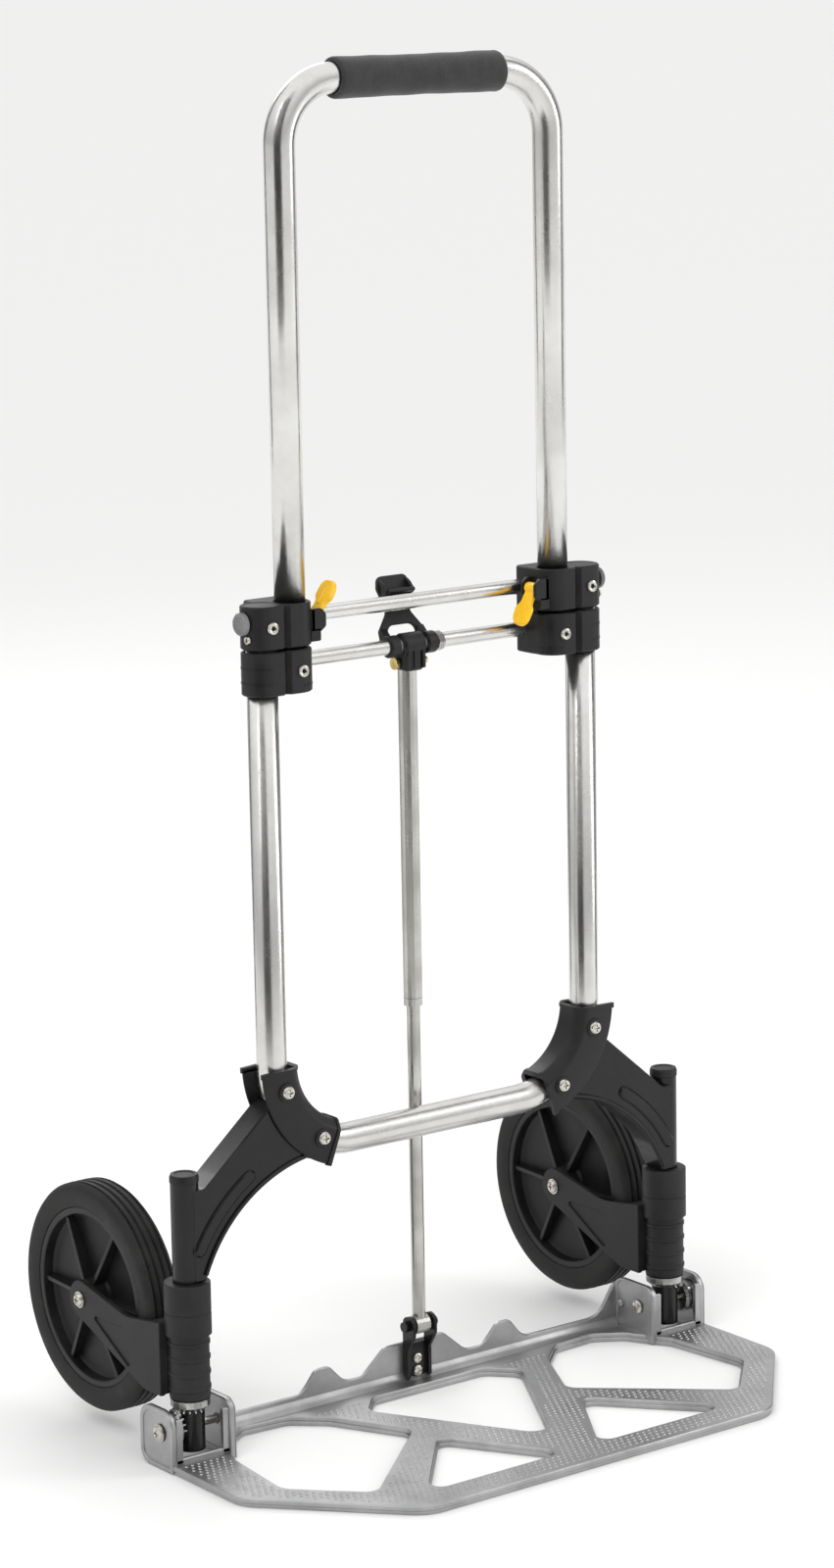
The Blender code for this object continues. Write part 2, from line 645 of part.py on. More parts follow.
def hub():
    rim_out = TYRE_SEAT - GAP
    rim_in = rim_out - HUB_RIM
    rim_half = TYRE_HALF - 2
    bore = BEARING_RADIUS + GAP
    profile = [(bore, -HUB_HALF), (HUB_BOSS, -HUB_HALF), (HUB_BOSS, -HUB_WEB), (rim_in, -HUB_WEB),
               (rim_in, -rim_half), (rim_out, -rim_half), (rim_out, rim_half), (rim_in, rim_half),
               (rim_in, HUB_WEB), (HUB_BOSS, HUB_WEB), (HUB_BOSS, HUB_HALF), (bore, HUB_HALF)]
    bm = wheel_turned(profile, WHEEL_FACETS)
    for rib in range(HUB_RIBS):
        spoke = block((-rim_half + 1, rim_half - 1), (HUB_BOSS - 2, rim_in + 2),
                      (-HUB_RIB_THICK / 2, HUB_RIB_THICK / 2))
        turn(spoke, 360 * rib / HUB_RIBS, "X")
        bmesh.ops.translate(spoke, verts=spoke.verts, vec=(POST_X, AXLE_Y, AXLE_Z))
        bm = joined(bm, spoke)
    return bm


def tyre():
    half = TYRE_HALF
    profile = [(TYRE_SEAT, 2 - half), (WHEEL_RADIUS - 7, -half), (WHEEL_RADIUS - 1, 5 - half),
               (WHEEL_RADIUS, 0), (WHEEL_RADIUS - 1, half - 5), (WHEEL_RADIUS - 7, half),
               (TYRE_SEAT, half - 2)]
    return wheel_turned(profile, WHEEL_FACETS)


def bearing():
    bore = AXLE_RADIUS + GAP
    return wheel_turned([(bore, -HUB_HALF), (BEARING_RADIUS, -HUB_HALF),
                         (BEARING_RADIUS, HUB_HALF), (bore, HUB_HALF)], 16)


def mitre_gear(bore, back, rim, phase):
    """A straight mitre gear about +Z with its apex at the origin and teeth from angle 0 down."""
    inner = GEAR_PITCH * GEAR_INNER_SHARE
    root = TOOTH_ROOT * math.sqrt(0.5)
    sunk = root + 0.4
    profile = [(bore, inner + root), (inner - root, inner + root),
               (GEAR_PITCH - root, GEAR_PITCH + root), (rim, GEAR_PITCH + root + 1.4),
               (rim, back), (bore, back)]
    teeth = bmesh.new()
    for tooth in range(GEAR_MADE_TEETH):
        corners = []
        for pitch in (inner, GEAR_PITCH):
            share = pitch / GEAR_PITCH
            for lift, width in ((-sunk, TOOTH_BASE_WIDTH), (TOOTH_TIP * math.sqrt(0.5), TOOTH_TIP_WIDTH)):
                for hand in (-0.5, 0.5):
                    corners.append(teeth.verts.new((pitch + lift * share, hand * width * share,
                                                    pitch - lift * share)))
        bmesh.ops.convex_hull(teeth, input=corners)
        angle = math.radians((1 + phase - tooth) * 360 / GEAR_TEETH)
        bmesh.ops.rotate(teeth, verts=corners, matrix=Matrix.Rotation(angle, 3, "Z"))
    face_out(teeth)
    return joined(turned("Z", (0, 0), profile), teeth)


def fork_gear():
    bm = mitre_gear(POST_RADIUS + GAP, FORK_FOOT_Z - GAP - HINGE_Z, SLEEVE_RADIUS - GAP, 0)
    bmesh.ops.translate(bm, verts=bm.verts, vec=(POST_X, 0, HINGE_Z))
    return bm


def plate_gear():
    """The same gear laid along X: its +X becomes +Z, +Y becomes -Y and +Z becomes +X."""
    bm = mitre_gear(HINGE_BOLT_RADIUS + GAP, OUTER_EAR_X[0] - GAP - POST_X, 12.0, 0.5)
    for vert in bm.verts:
        x, y, z = vert.co
        vert.co = (POST_X + z, y, HINGE_Z + x)
    bmesh.ops.reverse_faces(bm, faces=bm.faces)
    return bm


def hinge_bolt():
    outer_seat = OUTER_EAR_X[1] + GAP
    inner_seat = INNER_EAR_X[0] - GAP
    shank, head = HINGE_BOLT_RADIUS, HINGE_BOLT_HEAD
    profile = [(0, HINGE_BOLT_INNER_X), (head - 1, HINGE_BOLT_INNER_X), (head, inner_seat - 1),
               (head, inner_seat), (shank, inner_seat), (shank, outer_seat), (head, outer_seat),
               (head, HINGE_BOLT_OUTER_X - 1), (head - 1, HINGE_BOLT_OUTER_X), (0, HINGE_BOLT_OUTER_X)]
    return turned("X", (0, HINGE_Z), profile, 12)


def mirrored_outline(half):
    """A closed outline from its right half, listed from the front centre round to the rear."""
    return half + [(-x, y, radius) for x, y, radius in reversed(half)]


SIDE_OPENING = [(206, -21, 7), (211, -100, 14), (165, -147, 10), (71, -63, 10), (101, -4, 12),
                (124, 17, 12), (162, 20, 12), (188, 7, 6)]
REAR_OPENING = [(-52, 11, 12), (52, 11, 12), (71, -10, 10), (0, -134, 12), (-71, -10, 10)]
FRONT_OPENING = [(137, -168, 8), (66, -86, 8), (15, -168, 8)]


def plate_outline():
    wide = PLATE_HALF_WIDTH
    half = [(156, PLATE_FRONT_Y, 30), (wide, -97, 25), (wide, SILL_Y[1], 0),
            (INNER_EAR_X[1], SILL_Y[1], 0), (INNER_EAR_X[1], 26, 0), (190, PLATE_REAR_Y, 0)]
    return rounded(mirrored_outline(half), 4)


def flange_outline():
    """The rear flange seen from behind: a centre plateau, two humps and a rise to each ear."""
    ear_top = HINGE_Z + EAR_TOP_ABOVE_HINGE
    half = [(INNER_EAR_X[1], 1, 0), (INNER_EAR_X[1], ear_top - 6, 0), (191, ear_top - 6, 6),
            (172, 15, 12), (105, 15, 5), (94, 30, 7), (74, 30, 7), (58, 14, 7), (40, 14, 7),
            (24, 33, 6)]
    return rounded(mirrored_outline(half))


def opening(corners):
    return prism("Z", rounded(corners), -CUT_PAST, PLATE_THICK + CUT_PAST)


def toe_plate():
    top = HINGE_Z + EAR_TOP_ABOVE_HINGE
    bm = prism("Z", plate_outline(), 0, PLATE_THICK)
    flange = prism("Y", flange_outline(), PLATE_REAR_Y - FLANGE_THICK, PLATE_REAR_Y)
    bm = cut(joined(bm, flange), opening(REAR_OPENING))
    outer = rounded([(-15.5, 0, 0), (24.5, 0, 10), (24.5, top, 12), (-15.5, top, 12)])
    inner = rounded([(-17, 0.5, 0), (28.6, 0.5, 0), (28.6, top, 9), (-17, top, 9)])
    for side in (1, -1):
        mirror = [(side * x, y, radius) for x, y, radius in SIDE_OPENING]
        front = [(side * x, y, radius) for x, y, radius in FRONT_OPENING]
        bm = cut(bm, opening(mirror), opening(front))
        sill_x = sorted((side * (INNER_EAR_X[0] + 2), side * (OUTER_EAR_X[1] - 2)))
        bm = joined(bm, block(sill_x, SILL_Y, (1, SILL_TOP)))
        for outline, reach in ((outer, OUTER_EAR_X), (inner, INNER_EAR_X)):
            low, high = sorted(side * x for x in reach)
            ear = prism("X", outline, low, high)
            ear = cut(ear, rod("X", (0, HINGE_Z), HINGE_BOLT_RADIUS + GAP, low - 1, high + 1, 12))
            bm = joined(bm, ear)
    for z in CLEVIS_SCREW_Z:
        bm = cut(bm, rod("Y", (0, z), SCREW_RADIUS + GAP, PLATE_REAR_Y - 2 * FLANGE_THICK,
                         PLATE_REAR_Y + CUT_PAST, 10))
    finish("toe_plate", bm, ALUMINIUM, (0, 0, HINGE_Z))


def clevis():
    back = PLATE_REAR_Y - FLANGE_THICK - GAP
    sheet = CLEVIS_CHEEK[1] - CLEVIS_CHEEK[0]
    front = STRUT_Y - ROD_EYE_RADIUS - 0.5
    eye_top = ROD_EYE_Z + 7.5
    cheek = rounded([(back, 8, 0), (back, eye_top, 6.5), (front, eye_top, 6.5), (front, 42, 3),
                     (STRUT_Y, 30, 4), (STRUT_Y, 8, 0)], 3)
    bm = prism("X", cheek, -CLEVIS_CHEEK[1], CLEVIS_CHEEK[1])
    channel = block((-CLEVIS_CHEEK[0], CLEVIS_CHEEK[0]), (front - 1, back - sheet), (0, 80))
    notch = block((-CLEVIS_CHEEK[0], CLEVIS_CHEEK[0]), (front - 1, back + 1), (34, 80))
    bm = cut(bm, channel, notch)
    for side in (1, -1):
        low, high = sorted((side * (CLEVIS_CHEEK[0] + 0.5), side * CLEVIS_PIN_END))
        bm = joined(bm, rod("X", (STRUT_Y, ROD_EYE_Z), CLEVIS_PIN_RADIUS + 1, low, high, 14))
    for z in CLEVIS_SCREW_Z:
        bm = cut(bm, rod("Y", (0, z), SCREW_RADIUS + GAP, back - 2 * sheet, back + 1, 10))
    finish("clevis", bm, STEEL, (0, 0, HINGE_Z))
    for number, z in enumerate(CLEVIS_SCREW_Z, 1):
        finish("clevis_screw_%d" % number, screw((0, z), back - sheet - GAP, 8.5), ZINC)


def strut():
    centre = (0, STRUT_Y)
    body = prism("Z", rounded([(-HEAD_HALF, 9.5, 3), (HEAD_HALF, 9.5, 3), (HEAD_HALF, 31, 6),
                               (-HEAD_HALF, 31, 6)]), HEAD_FOOT_Z, HEAD_TOP_Z)
    body = cut(body, rod("Z", centre, STRUT_RADIUS + GAP, HEAD_FOOT_Z - 1, STRUT_TOP_Z + GAP),
               rod("X", (CROSSBAR_Y, LOWER_CROSSBAR_Z), CROSSBAR_RADIUS + GAP, -12, 12),
               rod("X", (STRUT_Y, STRUT_BOLT_Z), STRUT_BOLT_RADIUS + GAP, -12, 12, 10))
    finish("strut_head", body, BLACK_PLASTIC)
    tube = pipe("Z", centre, STRUT_BORE, STRUT_RADIUS, STRUT_FOOT_Z, STRUT_TOP_Z)
    tube = cut(tube, rod("X", (STRUT_Y, STRUT_BOLT_Z), STRUT_BOLT_RADIUS + GAP, -12, 12, 10))
    finish("strut_tube", tube, STEEL)
    bore = ROD_RADIUS + GAP
    bush = [(bore, STRUT_FOOT_Z - 6), (STRUT_RADIUS, STRUT_FOOT_Z - 6),
            (STRUT_RADIUS, STRUT_FOOT_Z - GAP), (STRUT_BORE - GAP, STRUT_FOOT_Z - GAP),
            (STRUT_BORE - GAP, STRUT_FOOT_Z + 12), (bore, STRUT_FOOT_Z + 12)]
    finish("strut_bush", turned("Z", centre, bush), BLACK_PLASTIC)
    seat = HEAD_HALF + GAP
    bolt = [(0, -seat - 2.7), (4.6, -seat - 2.7), (4.6, -seat), (STRUT_BOLT_RADIUS, -seat),
            (STRUT_BOLT_RADIUS, seat), (4.6, seat), (4.6, seat + 4.5), (STRUT_BOLT_RADIUS, seat + 4.5),
            (STRUT_BOLT_RADIUS, seat + 7.7), (0, seat + 7.7)]
    finish("strut_bolt", turned("X", (STRUT_Y, STRUT_BOLT_Z), bolt, 12), ZINC)


def strut_rod():
    shaft = rod("Z", (0, STRUT_Y), ROD_RADIUS, ROD_EYE_Z, ROD_TOP_Z)
    eye = rod("X", (STRUT_Y, ROD_EYE_Z), ROD_EYE_RADIUS, -ROD_EYE_HALF, ROD_EYE_HALF)
    hole = rod("X", (STRUT_Y, ROD_EYE_Z), CLEVIS_PIN_RADIUS + GAP, -ROD_EYE_HALF - 1, ROD_EYE_HALF + 1, 12)
    finish("strut_rod", cut(joined(shaft, eye), hole), STEEL)


def latch():
    """Two eyes on the lower crossbar, a back plate, and a hook that drops over the upper one."""
    inner, outer = LATCH_EYE_X
    low_y, high_y = LATCH_PLATE_Y
    hook_low = UPPER_CROSSBAR_Z + CROSSBAR_RADIUS + 0.7
    hook_high = hook_low + LATCH_HOOK_THICK
    front = CROSSBAR_Y - LATCH_HOOK_REACH
    side = rounded([(low_y, LOWER_CROSSBAR_Z - 4, 0), (high_y, LOWER_CROSSBAR_Z - 4, 3),
                    (high_y, LATCH_TOP_Z, 1), (low_y, LATCH_TOP_Z, 1)], 3)
    bm = prism("X", side, -outer, outer)
    bm = cut(bm, block((-HEAD_HALF - 3, HEAD_HALF + 3), (0, 40), (0, HEAD_TOP_Z + 6)))
    for hand in (1, -1):
        low, high = sorted((hand * inner, hand * outer))
        bm = joined(bm, rod("X", (CROSSBAR_Y, LOWER_CROSSBAR_Z), LATCH_EYE, low, high, 16))
        low, high = sorted((hand * (inner + 1), hand * (outer + 4)))
        bm = cut(bm, block((low, high), (0, 40), (hook_low - 12, LATCH_TOP_Z + 5)))
    bm = joined(bm, block((-inner, inner), (front, high_y - 1), (hook_low, hook_high)))
    bm = cut(bm, rod("X", (CROSSBAR_Y, LOWER_CROSSBAR_Z), CROSSBAR_RADIUS + GAP, -30, 30))
    turn(bm, -LATCH_REST_TILT, "X", (0, CROSSBAR_Y, LOWER_CROSSBAR_Z))
    finish("latch", bm, BLACK_PLASTIC, (0, CROSSBAR_Y, LOWER_CROSSBAR_Z))


def latch_spring():
    """A torsion spring of round wire, wound about the lower crossbar beside the latch."""
    around = CROSSBAR_RADIUS + GAP + SPRING_WIRE
    sides, per_turn = 5, 8
    bm = bmesh.new()
    rings = []
    for step in range(SPRING_TURNS * per_turn + 1):
        angle = 2 * math.pi * step / per_turn
        out = Vector((0, math.cos(angle), math.sin(angle)))
        along = LATCH_EYE_X[1] + 1.2 + step * 2.2 * SPRING_WIRE / per_turn
        centre = Vector((along, CROSSBAR_Y, LOWER_CROSSBAR_Z)) + out * around
        offsets = (2 * math.pi * side / sides for side in range(sides))
        rings.append([bm.verts.new(centre + SPRING_WIRE * (out * math.cos(t) + Vector((math.sin(t), 0, 0))))
                      for t in offsets])
    for first, second in zip(rings, rings[1:]):
        for side in range(sides):
            after = (side + 1) % sides
            bm.faces.new((first[side], first[after], second[after], second[side]))
    bm.faces.new(rings[0])
    bm.faces.new(rings[-1])
    face_out(bm)
    finish("latch_spring", bm, STEEL)


def build():
    clear_scene()
    lower_frame()
    handle_tube()
    grip()
    crossbar("upper_crossbar", UPPER_CROSSBAR_Z)
    crossbar("lower_crossbar", LOWER_CROSSBAR_Z)
    pair("upper_block", upper_block, BLACK_PLASTIC)
    pair("lower_block", lower_block, BLACK_PLASTIC)
    pair("upper_rivet", lambda: rivet(LOWER_TUBE_X, UPPER_BLOCK_Z), ZINC)
    pair("lower_rivet", lambda: rivet(HANDLE_TUBE_X, LOWER_BLOCK_Z), ZINC)
    pair("lock_pin", lock_pin, STEEL)
    pair("lock_cap", lock_cap, GREY)
    pair("lever_pin", lever_pin, STEEL)
    levers()
    pair("post", post, BLACK_PAINT, (POST_X, 0, HINGE_Z))
    pair("post_cap", post_cap, BLACK_PLASTIC)
    pair("gusset", gusset, BLACK_PAINT)
    pair("elbow", elbow, BLACK_PLASTIC)
    screw_seat = -TUBE_RADIUS - 2 * GAP - ELBOW_WALL
    for number, place in enumerate(elbow_screw_places(), 1):
        pair("elbow_screw_%d" % number, lambda: screw(place, screw_seat, SCREW_REACH), ZINC)
    axle = (POST_X, AXLE_Y, AXLE_Z)
    swivel = (POST_X, 0, HINGE_Z)
    pair("fork", fork, BLACK_PLASTIC, swivel)
    pair("fork_gear", fork_gear, STEEL, swivel)
    pair("axle_bolt", axle_bolt, ZINC, axle)
    pair("hub", hub, BLACK_PLASTIC, axle)
    pair("tyre", tyre, RUBBER, axle)
    pair("bearing", bearing, STEEL, axle)
    toe_plate()
    pair("plate_gear", plate_gear, STEEL, swivel)
    pair("hinge_bolt", hinge_bolt, ZINC, swivel)
    clevis()
    strut()
    strut_rod()
    latch()
    latch_spring()


build()
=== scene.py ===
"""Folding hand truck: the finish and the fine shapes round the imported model.

Sizes are in millimetres in the truck's own frame: Z up from the floor, the toe plate at -Y, the
wheels at +Y.  Right-hand pieces are made at +X and mirrored for the left.
"""

import json
import math

import bmesh
import bpy
from mathutils import Matrix, Vector


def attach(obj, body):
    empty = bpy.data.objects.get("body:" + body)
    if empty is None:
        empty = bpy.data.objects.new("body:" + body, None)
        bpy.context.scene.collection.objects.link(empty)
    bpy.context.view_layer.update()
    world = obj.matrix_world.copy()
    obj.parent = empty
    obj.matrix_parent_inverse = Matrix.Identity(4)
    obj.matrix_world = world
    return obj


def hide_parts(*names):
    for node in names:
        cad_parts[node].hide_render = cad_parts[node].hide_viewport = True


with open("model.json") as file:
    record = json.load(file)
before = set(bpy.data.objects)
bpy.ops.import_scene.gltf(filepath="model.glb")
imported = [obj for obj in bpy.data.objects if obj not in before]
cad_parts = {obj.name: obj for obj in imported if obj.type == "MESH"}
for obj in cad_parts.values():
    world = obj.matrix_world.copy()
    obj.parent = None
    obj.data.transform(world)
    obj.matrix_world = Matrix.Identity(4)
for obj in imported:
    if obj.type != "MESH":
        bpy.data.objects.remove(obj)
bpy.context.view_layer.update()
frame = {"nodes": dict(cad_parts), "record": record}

MM = 0.001

TUBE = 11.0
TUBE_WALL = 1.2
LOWER_X = 142.0
LOWER_TOP = 602.0
LOWER_BAR = 211.0
LOWER_BEND = 65.0
HANDLE_X = 117.0
HANDLE_FOOT = 543.0
HANDLE_TOP = 961.0
HANDLE_BEND = 45.0
BEND_CENTRE = (LOWER_X - LOWER_BEND, LOWER_BAR + LOWER_BEND)
BAR_Y = 18.0
UPPER_CROSSBAR = 589.5
LOWER_CROSSBAR = 558.2
ARCH_CENTRE = (104, 95)
ARCH_RADIUS = 112
BEAD_RADIUS = 126.25
BEAD_HALF = 4.75
BEAD_ENDS = (29, 58)
SCREW_ANGLES = (15.8, 60.2)
LOCK_Z = 592.0
LATCH_LEAN = 16.5
LEVER_PIVOT = (98.0, -1.0, 590.5)
BLOCK_LOBE = 14.5
BLOCK_HEIGHT = 30.6
UPPER_BLOCK = 573.5
LOWER_BLOCK = 541.0
POST_X = 219.0
POST = 10.0
HINGE_Z = 27.0
AXLE_Y = 110.0
AXLE_Z = 96.0
PLATE_TOP = 6.5
CAMERA_HEADING = -36.89
FLOOR_REACH = 150.0


# ---------------------------------------------------------------- shapes

def arc(centre, radius, start, end, steps):
    turns = (math.radians(start + (end - start) * step / steps) for step in range(steps + 1))
    return [(centre[0] + radius * math.cos(t), centre[1] + radius * math.sin(t)) for t in turns]


def rounded(corners, steps=6):
    """An outline through corners (a, b, radius), with each corner turned on its own arc."""
    outline = []
    for index, (a, b, radius) in enumerate(corners):
        corner = Vector((a, b))
        if radius == 0:
            outline.append(corner)
            continue
        back = (Vector(corners[index - 1][:2]) - corner).normalized()
        ahead = (Vector(corners[(index + 1) % len(corners)][:2]) - corner).normalized()
        half = back.angle(ahead) / 2
        centre = corner + (back + ahead).normalized() * radius / math.sin(half)
        first = corner + back * radius / math.tan(half) - centre
        last = corner + ahead * radius / math.tan(half) - centre
        sweep = math.pi - 2 * half
        for step in range(steps + 1):
            t = step / steps
            blend = first * math.sin((1 - t) * sweep) + last * math.sin(t * sweep)
            outline.append(centre + blend / math.sin(sweep))
    return outline


def circle(centre, radius, steps=32):
    return arc(centre, radius, 0, 360 - 360 / steps, steps - 1)


def put(axis, a, b, along):
    """A place from its two sizes across an axis and its size along it."""
    return {"X": (along, a, b), "Y": (a, along, b), "Z": (a, b, along)}[axis]


def face_out(bm):
    bmesh.ops.recalc_face_normals(bm, faces=bm.faces)
    if bm.calc_volume(signed=True) < 0:
        bmesh.ops.reverse_faces(bm, faces=bm.faces)
    return bm


def slab(axis, outline, low, high, holes=(), chamfer=0.0):
    """A flat piece with holes through it and its rims eased by a chamfer."""
    bm = bmesh.new()
    edges = []
    for loop in (outline, *holes):
        verts = [bm.verts.new(put(axis, a, b, low)) for a, b in loop]
        edges += [bm.edges.new((verts[i - 1], verts[i])) for i in range(len(verts))]
    bmesh.ops.triangle_fill(bm, use_beauty=True, use_dissolve=False, edges=edges,
                            normal=put(axis, 0, 0, 1))
    grown = bmesh.ops.extrude_face_region(bm, geom=bm.faces[:])["geom"]
    moved = [item for item in grown if isinstance(item, bmesh.types.BMVert)]
    bmesh.ops.translate(bm, verts=moved, vec=put(axis, 0, 0, high - low))
    face_out(bm)
    if chamfer:
        for height in (low, high):
            index = "XYZ".index(axis)
            caps = [face for face in bm.faces
                    if all(abs(vert.co[index] - height) < 1e-3 for vert in face.verts)]
            bmesh.ops.inset_region(bm, faces=caps, thickness=chamfer, depth=0.0,
                                   use_even_offset=True, use_boundary=True)
            inner = {vert for face in caps for vert in face.verts}
            rim = {vert for face in bm.faces if face not in caps for vert in face.verts}
            sink = chamfer if height == low else -chamfer
            outer = [v for v in rim - inner if abs(v.co[index] - height) < 1e-3]
            bmesh.ops.translate(bm, verts=outer, vec=put(axis, 0, 0, sink))
    return bm


def block(x, y, z, chamfer=0.0):
    outline = [(x[0], y[0]), (x[1], y[0]), (x[1], y[1]), (x[0], y[1])]
    return slab("Z", outline, z[0], z[1], chamfer=chamfer)


def turned(axis, centre, profile, segments=48):
    """A profile of (radius, along) turned a full circle about the axis."""
    bm = bmesh.new()
    loop = [bm.verts.new((radius, 0, along)) for radius, along in profile]
    edges = [bm.edges.new(pair) for pair in zip(loop, loop[1:])]
    if profile[0][0] > 0 or profile[-1][0] > 0:
        edges.append(bm.edges.new((loop[-1], loop[0])))
    bmesh.ops.spin(bm, geom=loop + edges, axis=(0, 0, 1), angle=2 * math.pi, steps=segments,
                   use_merge=True)
    bmesh.ops.remove_doubles(bm, verts=bm.verts, dist=0.0001)
    for vert in bm.verts:
        x, y, z = vert.co
        vert.co = put(axis, centre[0] + x, centre[1] + y, z)
    return face_out(bm)


def add(bm, *others):
    """Put further shells into one mesh."""
    for other in others:
        mesh = bpy.data.meshes.new("joined")
        other.to_mesh(mesh)
        other.free()
        bm.from_mesh(mesh)
        bpy.data.meshes.remove(mesh)
    return bm


def shift(bm, x=0.0, y=0.0, z=0.0):
    bmesh.ops.translate(bm, verts=bm.verts, vec=(x, y, z))
    return bm


def turn(bm, degrees, axis, centre=(0, 0, 0)):
    bmesh.ops.rotate(bm, verts=bm.verts, cent=centre,
                     matrix=Matrix.Rotation(math.radians(degrees), 3, axis))
    return bm


def cut(bm, tool):
    """The mesh with a tool's shape taken out of it."""
    made = []
    for shape in (bm, tool):
        mesh = bpy.data.meshes.new("cut")
        shape.to_mesh(mesh)
        shape.free()
        made.append(bpy.data.objects.new("cut", mesh))
        bpy.context.collection.objects.link(made[-1])
    change = made[0].modifiers.new("cut", "BOOLEAN")
    change.operation = "DIFFERENCE"
    change.object = made[1]
    result = bmesh.new()
    result.from_object(made[0], bpy.context.evaluated_depsgraph_get())
    for used in made:
        bpy.data.objects.remove(used)
    return result


def piece(name, bm, look, body, nodes=(), left=False, crease=32):
    if left:
        bmesh.ops.scale(bm, verts=bm.verts, vec=(-1, 1, 1))
        bmesh.ops.reverse_faces(bm, faces=bm.faces)
    bmesh.ops.scale(bm, verts=bm.verts, vec=(MM, MM, MM))
    mesh = bpy.data.meshes.new(name)
    bm.to_mesh(mesh)
    bm.free()
    mesh.shade_smooth()
    mesh.set_sharp_from_angle(angle=math.radians(crease))
    mesh.materials.append(look)
    made = bpy.data.objects.new(name, mesh)
    bpy.context.collection.objects.link(made)
    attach(made, body)
    if nodes:
        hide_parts(*nodes)
    return made


def pair(name, build, look, body, nodes=(), slot="black_plastic", crease=32):
    """The right-hand piece and its mirror image; {} in a name stands for the side."""
    for side in ("right", "left"):
        piece(side + "_" + name, build(), look, body.format(side),
              [node.format(side) for node in nodes], side == "left", crease)


# ---------------------------------------------------------------- materials

def surface(name, colour, metallic, roughness):
    look = bpy.data.materials.new(name)
    look.use_nodes = True
    tree = look.node_tree
    shader = tree.nodes["Principled BSDF"]
    shader.inputs["Base Color"].default_value = (*colour, 1.0)
    shader.inputs["Metallic"].default_value = metallic
    shader.inputs["Roughness"].default_value = roughness
    where = tree.nodes.new("ShaderNodeTexCoord")
    return look, tree, shader, where.outputs["Object"]


def noise(tree, where, scale, detail=3.0, stretch=(1, 1, 1), rough=0.55):
    place = tree.nodes.new("ShaderNodeMapping")
    place.inputs["Scale"].default_value = stretch
    tree.links.new(where, place.inputs["Vector"])
    made = tree.nodes.new("ShaderNodeTexNoise")
    made.inputs["Scale"].default_value = scale
    made.inputs["Detail"].default_value = detail
    made.inputs["Roughness"].default_value = rough
    tree.links.new(place.outputs["Vector"], made.inputs["Vector"])
    return made.outputs["Fac"]


def ranged(tree, value, low, high, start=0.35, end=0.65):
    made = tree.nodes.new("ShaderNodeMapRange")
    made.inputs["From Min"].default_value = start
    made.inputs["From Max"].default_value = end
    made.inputs["To Min"].default_value = low
    made.inputs["To Max"].default_value = high
    tree.links.new(value, made.inputs["Value"])
    return made.outputs["Result"]


def tinted(tree, shader, factor, first, second):
    mix = tree.nodes.new("ShaderNodeMix")
    mix.data_type = "RGBA"
    mix.inputs[6].default_value = (*first, 1.0)
    mix.inputs[7].default_value = (*second, 1.0)
    tree.links.new(factor, mix.inputs[0])
    tree.links.new(mix.outputs[2], shader.inputs["Base Color"])


def bumped(tree, shader, heights, distance):
    """Bump from a list of (height, strength), each laid over the one before."""
    last = None
    for height, strength in heights:
        bump = tree.nodes.new("ShaderNodeBump")
        bump.inputs["Strength"].default_value = strength
        bump.inputs["Distance"].default_value = distance
        tree.links.new(height, bump.inputs["Height"])
        if last:
            tree.links.new(last, bump.inputs["Normal"])
        last = bump.outputs["Normal"]
    tree.links.new(last, shader.inputs["Normal"])


def polished_tube():
    look, tree, shader, where = surface("polished_tube", (0.80, 0.80, 0.80), 1.0, 0.14)
    drawn = noise(tree, where, 60, 4, (9, 9, 0.25))
    pits = noise(tree, where, 900, 2)
    haze = noise(tree, where, 14, 5, rough=0.65)
    tree.links.new(ranged(tree, haze, 0.17, 0.30), shader.inputs["Roughness"])
    tinted(tree, shader, ranged(tree, haze, 0, 1), (0.74, 0.735, 0.72), (0.60, 0.59, 0.57))
    bumped(tree, shader, [(drawn, 0.10), (ranged(tree, pits, 0, 1, 0.60, 0.72), 0.12)], 0.0004)
    return look


def drawn_steel():
    look, tree, shader, where = surface("drawn_steel", (0.60, 0.59, 0.57), 1.0, 0.3)
    drawn = noise(tree, where, 90, 4, (9, 9, 0.4))
    haze = noise(tree, where, 22, 4)
    tree.links.new(ranged(tree, haze, 0.2, 0.38), shader.inputs["Roughness"])
    tinted(tree, shader, ranged(tree, haze, 0, 1), (0.56, 0.55, 0.52), (0.42, 0.41, 0.38))
    bumped(tree, shader, [(drawn, 0.16)], 0.0004)
    return look


def black_paint():
    look, tree, shader, where = surface("black_satin_paint", (0.016, 0.016, 0.018), 0.0, 0.3)
    shader.inputs["Coat Weight"].default_value = 0.3
    shader.inputs["Coat Roughness"].default_value = 0.08
    peel = noise(tree, where, 420, 3)
    dust = noise(tree, where, 30, 6, rough=0.7)
    tree.links.new(ranged(tree, dust, 0.24, 0.42), shader.inputs["Roughness"])
    tinted(tree, shader, ranged(tree, dust, 0, 1, 0.45, 0.8), (0.005, 0.005, 0.006),
           (0.012, 0.012, 0.011))
    shader.inputs["Specular IOR Level"].default_value = 0.2
    bumped(tree, shader, [(peel, 0.12)], 0.0004)
    return look


def black_plastic(name="black_moulding", tone=0.009, rough=0.42):
    look, tree, shader, where = surface(name, (tone, tone, tone * 1.06), 0.0, rough)
    shader.inputs["Specular IOR Level"].default_value = 0.32
    grain = noise(tree, where, 1400, 2)
    flow = noise(tree, where, 26, 5, rough=0.65)
    tree.links.new(ranged(tree, flow, rough - 0.07, rough + 0.1), shader.inputs["Roughness"])
    tinted(tree, shader, ranged(tree, flow, 0, 1, 0.4, 0.75), (tone * 0.85,) * 3,
           (tone * 1.9, tone * 1.9, tone * 1.95))
    bumped(tree, shader, [(flow, 0.05), (grain, 0.22)], 0.0004)
    return look


